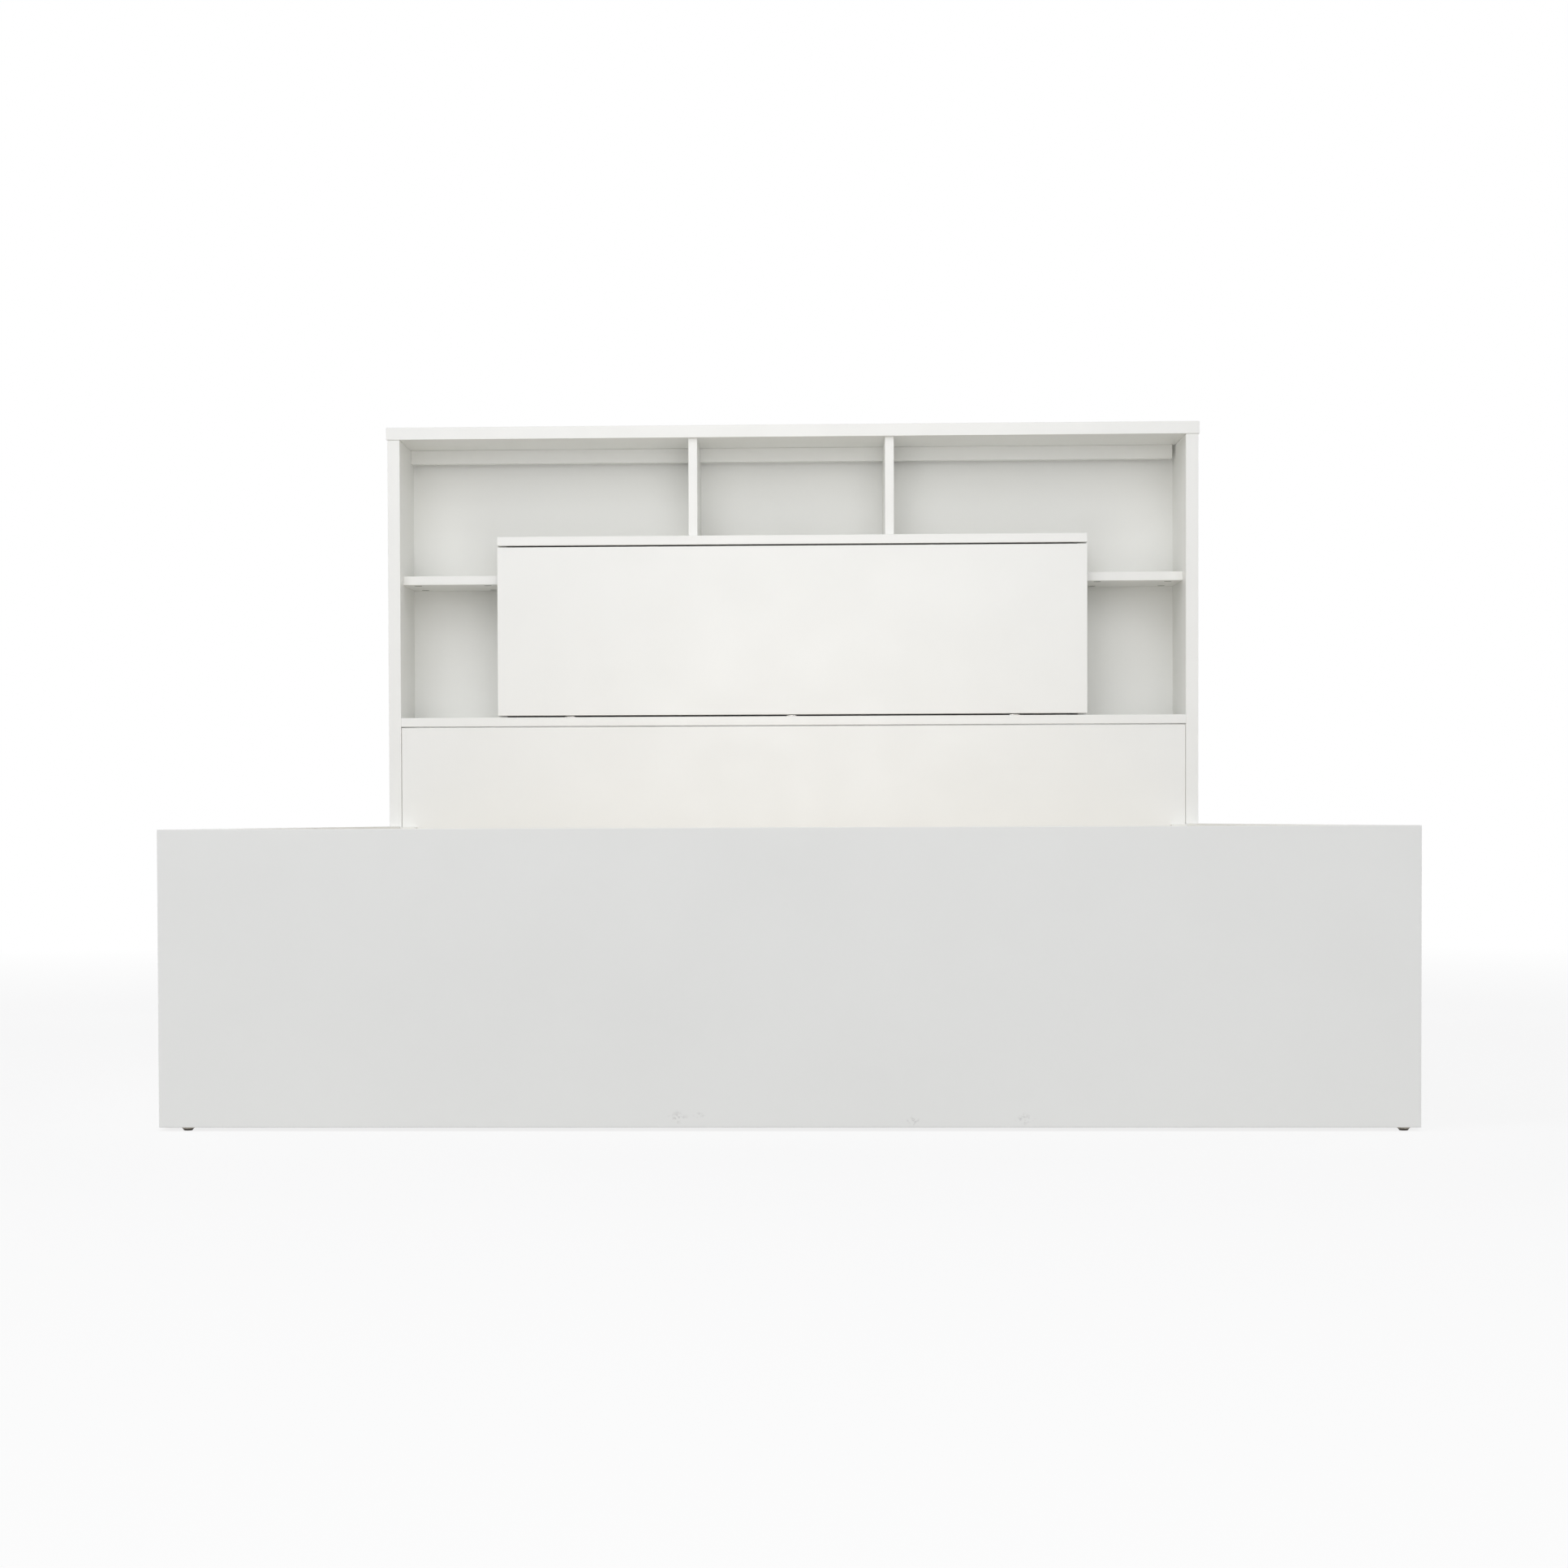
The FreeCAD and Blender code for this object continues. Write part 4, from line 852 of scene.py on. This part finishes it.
class BED_OT_straps(bpy.types.Operator):
    """Woven tapes under the slats, with a staple at each slat"""
    bl_idname = "bed.straps"
    bl_label = "Straps and staples"

    def execute(self, context):
        sizes = context.scene.bed_sizes
        woven = webbing_finish("tape_weave", context.scene.bed_fittings.webbing)
        steel = plated_steel(context)
        slats = [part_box(name) for name in sorted(nodes_in_slot("slat_wood"))]
        for side in ("left", "right"):
            node = f"slat_strap_{side}"
            add_piece(f"tape_{side}", self.tape(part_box(node), slats, sizes), woven, "bed",
                      [node])
            add_piece(f"staples_{side}", self.staples(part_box(node), slats, sizes), steel, "bed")
        return {"FINISHED"}

    def tape(self, box, slats, sizes):
        """A ribbed tape that lies on the slats and hangs a little between them."""
        low, high = box
        mesh = bmesh.new()
        weave = mesh.loops.layers.uv.new("weave")
        width, run = high.x - low.x, high.y - low.y
        around = Matrix.Translation(((low.x + high.x) / 2.0, (low.y + high.y) / 2.0, high.z))
        around @= Matrix.Diagonal((width, run, 1.0, 1.0))
        bmesh.ops.create_grid(mesh, x_segments=4 * sizes.strap_ribs, y_segments=360, size=0.5,
                              matrix=around)
        for face in mesh.faces:
            for corner in face.loops:
                corner[weave].uv = (corner.vert.co.x - low.x, corner.vert.co.y - low.y)
        thick = 0.75 * (high.z - low.z)
        bmesh.ops.solidify(mesh, geom=mesh.faces, thickness=thick)
        gaps = [(first[1].y, second[0].y) for first, second in zip(slats, slats[1:])]
        middle = high.z - thick / 2.0
        for vert in mesh.verts:
            ribbed = abs(math.sin(math.pi * sizes.strap_ribs * (vert.co.x - low.x) / width))
            outer = vert.co.z < middle
            vert.co.z = high.z - (thick + 0.2 * thick * ribbed if outer else 0.0)
            for start, end in gaps:
                if start < vert.co.y < end:
                    hang = math.sin(math.pi * (vert.co.y - start) / (end - start)) ** 2
                    vert.co.z -= sizes.strap_sag * hang
        return mesh

    def staples(self, box, slats, sizes):
        """One staple through the tape into each slat."""
        low, high = box
        half, wire = sizes.staple_crown / 2.0, sizes.staple_wire
        single = bmesh.new()
        block(single, (-half, -wire / 2.0, -wire), (half, wire / 2.0, 0.0), 0.28 * wire)
        for sign in (-1.0, 1.0):
            centre = sign * (half - wire / 2.0)
            block(single, (centre - 0.45 * wire, -0.45 * wire, -0.5 * wire),
                  (centre + 0.45 * wire, 0.45 * wire, 7.0 * MM), 0.2 * wire)
        for vert in single.verts:
            if vert.co.z <= 0.0:
                vert.co.z += 0.25 * wire * (vert.co.x / half) ** 2
        level = low.z + 0.1 * MM
        places = []
        for number, (slat_low, slat_high) in enumerate(slats):
            lean = math.radians((7.0, -4.0, 2.0, -9.0, 5.0)[number % 5])
            spot = Vector(((low.x + high.x) / 2.0, (slat_low.y + slat_high.y) / 2.0, level))
            places.append(Matrix.Translation(spot) @ Matrix.Rotation(lean, 4, "Z"))
        return repeated(single, places)


# ---------------------------------------------------------------- fittings
def plated_steel(context):
    """The zinc plating that screws, plates and staples share."""
    held = bpy.data.materials.get("plated_steel")
    looks = context.scene.bed_fittings
    return held or metal_finish("plated_steel", looks.steel, looks.steel_warm, 0.32)


def nickel(context):
    """The nickel plating of the hinges."""
    tone = context.scene.bed_fittings.nickel
    return metal_finish("nickel_plate", tone, shaded(tone, 0.9), 0.22, 0.2)


def screw(head_radius, shank_radius, whole, head):
    """A round-headed screw with a cross recess. Its head's top lies at level 0."""
    recess = cross(0.52 * head_radius, 0.17 * head_radius)
    foot = cross(0.34 * head_radius, 0.11 * head_radius)
    return pattern([
        (-whole, 0.25 * shank_radius),
        (-whole + 2.0 * shank_radius, shank_radius),
        (-head, shank_radius),
        (-head, head_radius),
        (-0.55 * head, head_radius),
        (-0.22 * head, 0.88 * head_radius),
        (-0.02 * head, 0.62 * head_radius),
        (0.0, recess),
        (-0.68 * head, foot),
    ])


class BED_OT_screws(bpy.types.Operator):
    """Cross-headed screws of the frame, the fittings and the hinge cups"""
    bl_idname = "bed.screws"
    bl_label = "Screws"

    def execute(self, context):
        sizes = context.scene.bed_sizes
        steel = plated_steel(context)
        for node, body, head in (("frame_screws", "bed", sizes.screw_head),
                                 ("fitting_screws", "bed", sizes.tack_head),
                                 ("hinge_cup_screws", "flap", sizes.tack_head)):
            found = fasteners(node)
            head_radius, shank_radius, whole = found[0][2:]
            places = []
            for number, (place, outwards, *_) in enumerate(found):
                turn = Matrix.Rotation(math.radians(37.0 * number), 4, "Z")
                places.append(turned_to(place, outwards) @ turn)
            mesh = repeated(screw(head_radius, shank_radius, whole, head), places)
            add_piece(f"cross_{node}", mesh, steel, body, [node])
        return {"FINISHED"}


class BED_OT_corner_bolts(bpy.types.Operator):
    """Socket bolts that draw the corner posts against the boards"""
    bl_idname = "bed.corner_bolts"
    bl_label = "Corner bolts"

    def execute(self, context):
        sizes = context.scene.bed_sizes
        found = fasteners("corner_bolts")
        head_radius, shank_radius, whole = found[0][2:]
        head = sizes.bolt_head
        socket = hexagon(sizes.bolt_socket)
        single = pattern([
            (-whole, 0.8 * shank_radius),
            (-whole + 0.3 * shank_radius, shank_radius),
            (-head, shank_radius),
            (-head, 0.93 * head_radius),
            (-0.9 * head, head_radius),
            (-0.18 * head, head_radius),
            (-0.04 * head, 0.95 * head_radius),
            (0.0, 0.86 * head_radius),
            (0.0, hexagon(1.12 * sizes.bolt_socket)),
            (-0.08 * head, socket),
            (-0.62 * head, socket),
        ])
        mesh = repeated(single, [turned_to(place, outwards) for place, outwards, *_ in found])
        add_piece("socket_bolts", mesh, plated_steel(context), "bed",
                  ["corner_bolts"])
        return {"FINISHED"}


class BED_OT_beam_hangers(bpy.types.Operator):
    """Folded steel hangers that hold the ends of the centre beam"""
    bl_idname = "bed.beam_hangers"
    bl_label = "Beam hangers"

    def execute(self, context):
        mesh = softened_copy("beam_hangers", context.scene.bed_sizes.soft_edge)
        add_piece("folded_hangers", mesh, plated_steel(context), "bed",
                  ["beam_hangers"])
        return {"FINISHED"}


class BED_OT_shelf_cams(bpy.types.Operator):
    """Cast cams in the side shelves' undersides, and the bolts that they draw"""
    bl_idname = "bed.shelf_cams"
    bl_label = "Shelf cams"

    def execute(self, context):
        sizes = context.scene.bed_sizes
        tone = context.scene.bed_fittings.cam
        cast = metal_finish("cast_zinc", tone, shaded(tone, 1.35), 0.50, 0.8)
        radius, tall, boxes = discs("shelf_cam_locks", "z")
        rim = sizes.cam_rim
        single = pattern([
            (-tall, 0.93 * radius),
            (-tall + rim, radius),
            (-rim, radius),
            (0.0, 0.95 * radius),
            (0.0, 0.84 * radius),
            (-rim, 0.79 * radius),
            (-rim, cross(0.50 * radius, 0.15 * radius)),
            (-rim - 2.2 * MM, cross(0.36 * radius, 0.11 * radius)),
        ])
        places = []
        for number, box in enumerate(boxes):
            turn = Matrix.Rotation(math.radians((12.0, -20.0, 31.0, -8.0)[number % 4]), 4, "Z")
            places.append(turned_to(centre_of(box, z=box[0].z), (0.0, 0.0, -1.0)) @ turn)
        add_piece("cast_cams", repeated(single, places), cast, "bed",
                  ["shelf_cam_locks"])
        give_finish(["shelf_cam_bolts"], plated_steel(context))
        return {"FINISHED"}


class BED_OT_hinges(bpy.types.Operator):
    """Cups, arms and pins of the flap's three hinges"""
    bl_idname = "bed.hinges"
    bl_label = "Flap hinges"

    def execute(self, context):
        sizes = context.scene.bed_sizes
        plate = nickel(context)
        flap_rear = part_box("cabinet_flap")[1].y
        boxes = solids("flap_hinge_cups")
        low, high = boxes[0]
        flange = high.y - flap_rear
        end_radius = (high.z - low.z) / 2.0
        spread = (high.x - low.x) / 2.0 - end_radius
        cup, wall, deep = sizes.cup_radius, sizes.cup_wall, flap_rear - low.y
        soft = sizes.soft_edge
        single = pattern([
            (-deep, cup - 2.0 * soft),
            (-deep + 2.0 * soft, cup),
            (0.0, cup),
            (0.0, end_radius, spread),
            (flange - soft, end_radius, spread),
            (flange, end_radius - soft, spread),
            (flange, cup + 0.2 * MM),
            (flange - soft, cup - wall),
            (-deep + 2.5 * wall, cup - wall),
            (-deep + wall, cup - 2.5 * wall),
        ], count=48)
        places = [turned_to(centre_of(box, y=flap_rear), (0.0, 1.0, 0.0)) for box in boxes]
        add_piece("pressed_cups", repeated(single, places), plate, "flap",
                  ["flap_hinge_cups"])
        add_piece("bent_arms", softened_copy("flap_hinge_arms", soft), plate, "bed",
                  ["flap_hinge_arms"])
        give_finish(["flap_hinge_pins"], plate)
        return {"FINISHED"}


class BED_OT_latches(bpy.types.Operator):
    """Push latches under the cabinet's top, their plungers and the flap's strike plates"""
    bl_idname = "bed.latches"
    bl_label = "Push latches"

    def execute(self, context):
        looks = context.scene.bed_fittings
        sizes = context.scene.bed_sizes
        case = plastic_finish("latch_plastic", looks.plastic, 0.42)
        slider = plastic_finish("plunger_plastic", looks.plunger, 0.38)
        steel = plated_steel(context)
        for side in ("left", "right"):
            node = f"push_latch_{side}"
            add_piece(f"latch_case_{side}", self.case(node, sizes), case, "bed",
                      [node])
            self.plunger(side, sizes.stem_radius, slider, steel)
        radius, thick, boxes = discs("latch_strike_plates", "y")
        single = pattern([
            (0.0, radius),
            (0.65 * thick, radius),
            (thick, 0.94 * radius),
            (thick, 0.42 * radius),
            (0.75 * thick, 0.36 * radius),
            (0.75 * thick, cross(0.24 * radius, 0.08 * radius)),
            (0.20 * thick, cross(0.18 * radius, 0.06 * radius)),
        ])
        places = [turned_to(centre_of(box, y=box[0].y), (0.0, 1.0, 0.0)) for box in boxes]
        add_piece("round_strikes", repeated(single, places), steel, "flap",
                  ["latch_strike_plates"])
        return {"FINISHED"}

    def case(self, node, sizes):
        """A moulded case with its ears, ribs along its sides and a collar round its bore."""
        mesh = softened_copy(node, sizes.soft_edge)
        low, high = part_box(node)
        sunk, proud, rib_pitch, rib_width = 0.3 * MM, 0.5 * MM, 2.8 * MM, 1.2 * MM
        for sign in (-1.0, 1.0):
            face = (low.x + high.x) / 2.0 + sign * sizes.latch_half
            left, right = sorted((face - sign * sunk, face + sign * proud))
            for step in range(5):
                for start in (low.y + 5.0 * MM, high.y - 19.0 * MM):
                    rib = start + step * rib_pitch
                    block(mesh, (left, rib, low.z + 2.0 * MM),
                          (right, rib + rib_width, high.z - 3.2 * MM), 0.2 * MM, 1)
        return mesh

    def plunger(self, side, stem, slider, steel):
        """A plunger with a rounded tip that holds a small steel disc."""
        node = f"latch_plunger_{side}"
        low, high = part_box(node)
        tip, run = (high.x - low.x) / 2.0, high.y - low.y
        place = turned_to(centre_of((low, high), y=low.y), (0.0, -1.0, 0.0))
        body = f"plunger_{side}"
        single = pattern([
            (-run, 0.85 * stem),
            (-run + 0.5 * MM, stem),
            (-4.0 * MM, stem),
            (-4.0 * MM, 0.94 * tip),
            (-3.6 * MM, tip),
            (-0.7 * MM, tip),
            (-0.2 * MM, 0.93 * tip),
            (0.0, 0.84 * tip),
            (0.0, 0.66 * tip),
            (-0.5 * MM, 0.64 * tip),
        ])
        add_piece(f"moulded_{node}", repeated(single, [place]), slider, body,
                  [node])
        disc = pattern([(-0.55 * MM, 0.63 * tip), (-0.2 * MM, 0.63 * tip), (-0.1 * MM, 0.58 * tip),
                        (-0.1 * MM, 0.2 * tip), (-0.25 * MM, 0.16 * tip)])
        add_piece(f"tip_disc_{side}", repeated(disc, [place]), steel, body)


class BED_OT_bumpers(bpy.types.Operator):
    """Soft domed pads on the cabinet sides, behind the flap"""
    bl_idname = "bed.bumpers"
    bl_label = "Flap bumpers"

    def execute(self, context):
        rubber = plastic_finish("soft_rubber", context.scene.bed_fittings.rubber, 0.45, soft=0.2)
        radius, thick, boxes = discs("flap_bumpers", "y")
        single = pattern([
            (0.0, radius),
            (0.18 * thick, radius),
            (0.45 * thick, 0.94 * radius),
            (0.75 * thick, 0.74 * radius),
            (0.93 * thick, 0.45 * radius),
            (thick, 0.15 * radius),
        ])
        places = [turned_to(centre_of(box, y=box[1].y), (0.0, -1.0, 0.0)) for box in boxes]
        add_piece("domed_bumpers", repeated(single, places), rubber, "bed",
                  ["flap_bumpers"])
        return {"FINISHED"}


class BED_OT_glides(bpy.types.Operator):
    """Round glides: a cream cap over a dark tapered sole with a nail in it"""
    bl_idname = "bed.glides"
    bl_label = "Floor glides"

    def execute(self, context):
        looks = context.scene.bed_fittings
        cream = plastic_finish("cream_plastic", looks.cream, 0.45, spread=0.08)
        cap, tall, boxes = discs("floor_glides", "z")
        step = 0.6 * tall
        sole = 0.89 * cap
        caps = pattern([
            (tall, 0.9 * cap),
            (tall, 0.97 * cap),
            (tall - 0.3 * MM, cap),
            (step + 0.5 * MM, cap),
            (step + 0.1 * MM, 0.96 * cap),
            (step, 0.9 * cap),
        ], count=40)
        soles = pattern([
            (step + 0.2 * MM, 0.86 * cap),
            (step, sole),
            (0.5 * MM, 0.80 * sole),
            (0.1 * MM, 0.775 * sole),
            (0.0, 0.72 * sole),
            (0.0, 0.33 * sole),
            (0.9 * MM, 0.28 * sole),
        ], count=40)
        nails = pattern([
            (1.4 * MM, 0.26 * sole),
            (0.6 * MM, 0.26 * sole),
            (0.4 * MM, 0.2 * sole),
        ])
        places = [Matrix.Translation(centre_of(box, z=box[0].z)) for box in boxes]
        add_piece("glide_caps", repeated(caps, places), cream, "bed",
                  ["floor_glides"])
        add_piece("glide_soles", repeated(soles, places), sole_finish("sole", looks.sole),
                  "bed")
        add_piece("glide_nails", repeated(nails, places), plated_steel(context), "bed")
        return {"FINISHED"}


# ---------------------------------------------------------------- add-on
class BED_PT_pieces(bpy.types.Panel):
    """Lists the steps that dress the bed"""
    bl_idname = "BED_PT_pieces"
    bl_label = "Bookcase headboard bed"
    bl_space_type = "VIEW_3D"
    bl_region_type = "UI"
    bl_category = "Bed"

    def draw(self, context):
        for operator in OPERATORS:
            self.layout.operator(operator.bl_idname)


OPERATORS = (
    BED_OT_stage,
    BED_OT_white_boards,
    BED_OT_back_panel,
    BED_OT_timbers,
    BED_OT_straps,
    BED_OT_screws,
    BED_OT_corner_bolts,
    BED_OT_beam_hangers,
    BED_OT_shelf_cams,
    BED_OT_hinges,
    BED_OT_latches,
    BED_OT_bumpers,
    BED_OT_glides,
)
GROUPS = {
    "bed_boards": BoardFinish,
    "bed_timber": TimberFinish,
    "bed_fittings": FittingFinish,
    "bed_sizes": FittingSizes,
    "bed_stage": StageSetup,
}


def register():
    for kind in (*GROUPS.values(), *OPERATORS, BED_PT_pieces):
        bpy.utils.register_class(kind)
    for name, group in GROUPS.items():
        setattr(bpy.types.Scene, name, PointerProperty(type=group))


def unregister():
    for name in GROUPS:
        delattr(bpy.types.Scene, name)
    for kind in (BED_PT_pieces, *reversed(OPERATORS), *reversed(list(GROUPS.values()))):
        bpy.utils.unregister_class(kind)


def main():
    """Dress the bed step by step."""
    register()
    for operator in OPERATORS:
        family, step = operator.bl_idname.split(".")
        getattr(getattr(bpy.ops, family), step)()
    bpy.context.view_layer.update()


if __name__ == "__main__":
    main()
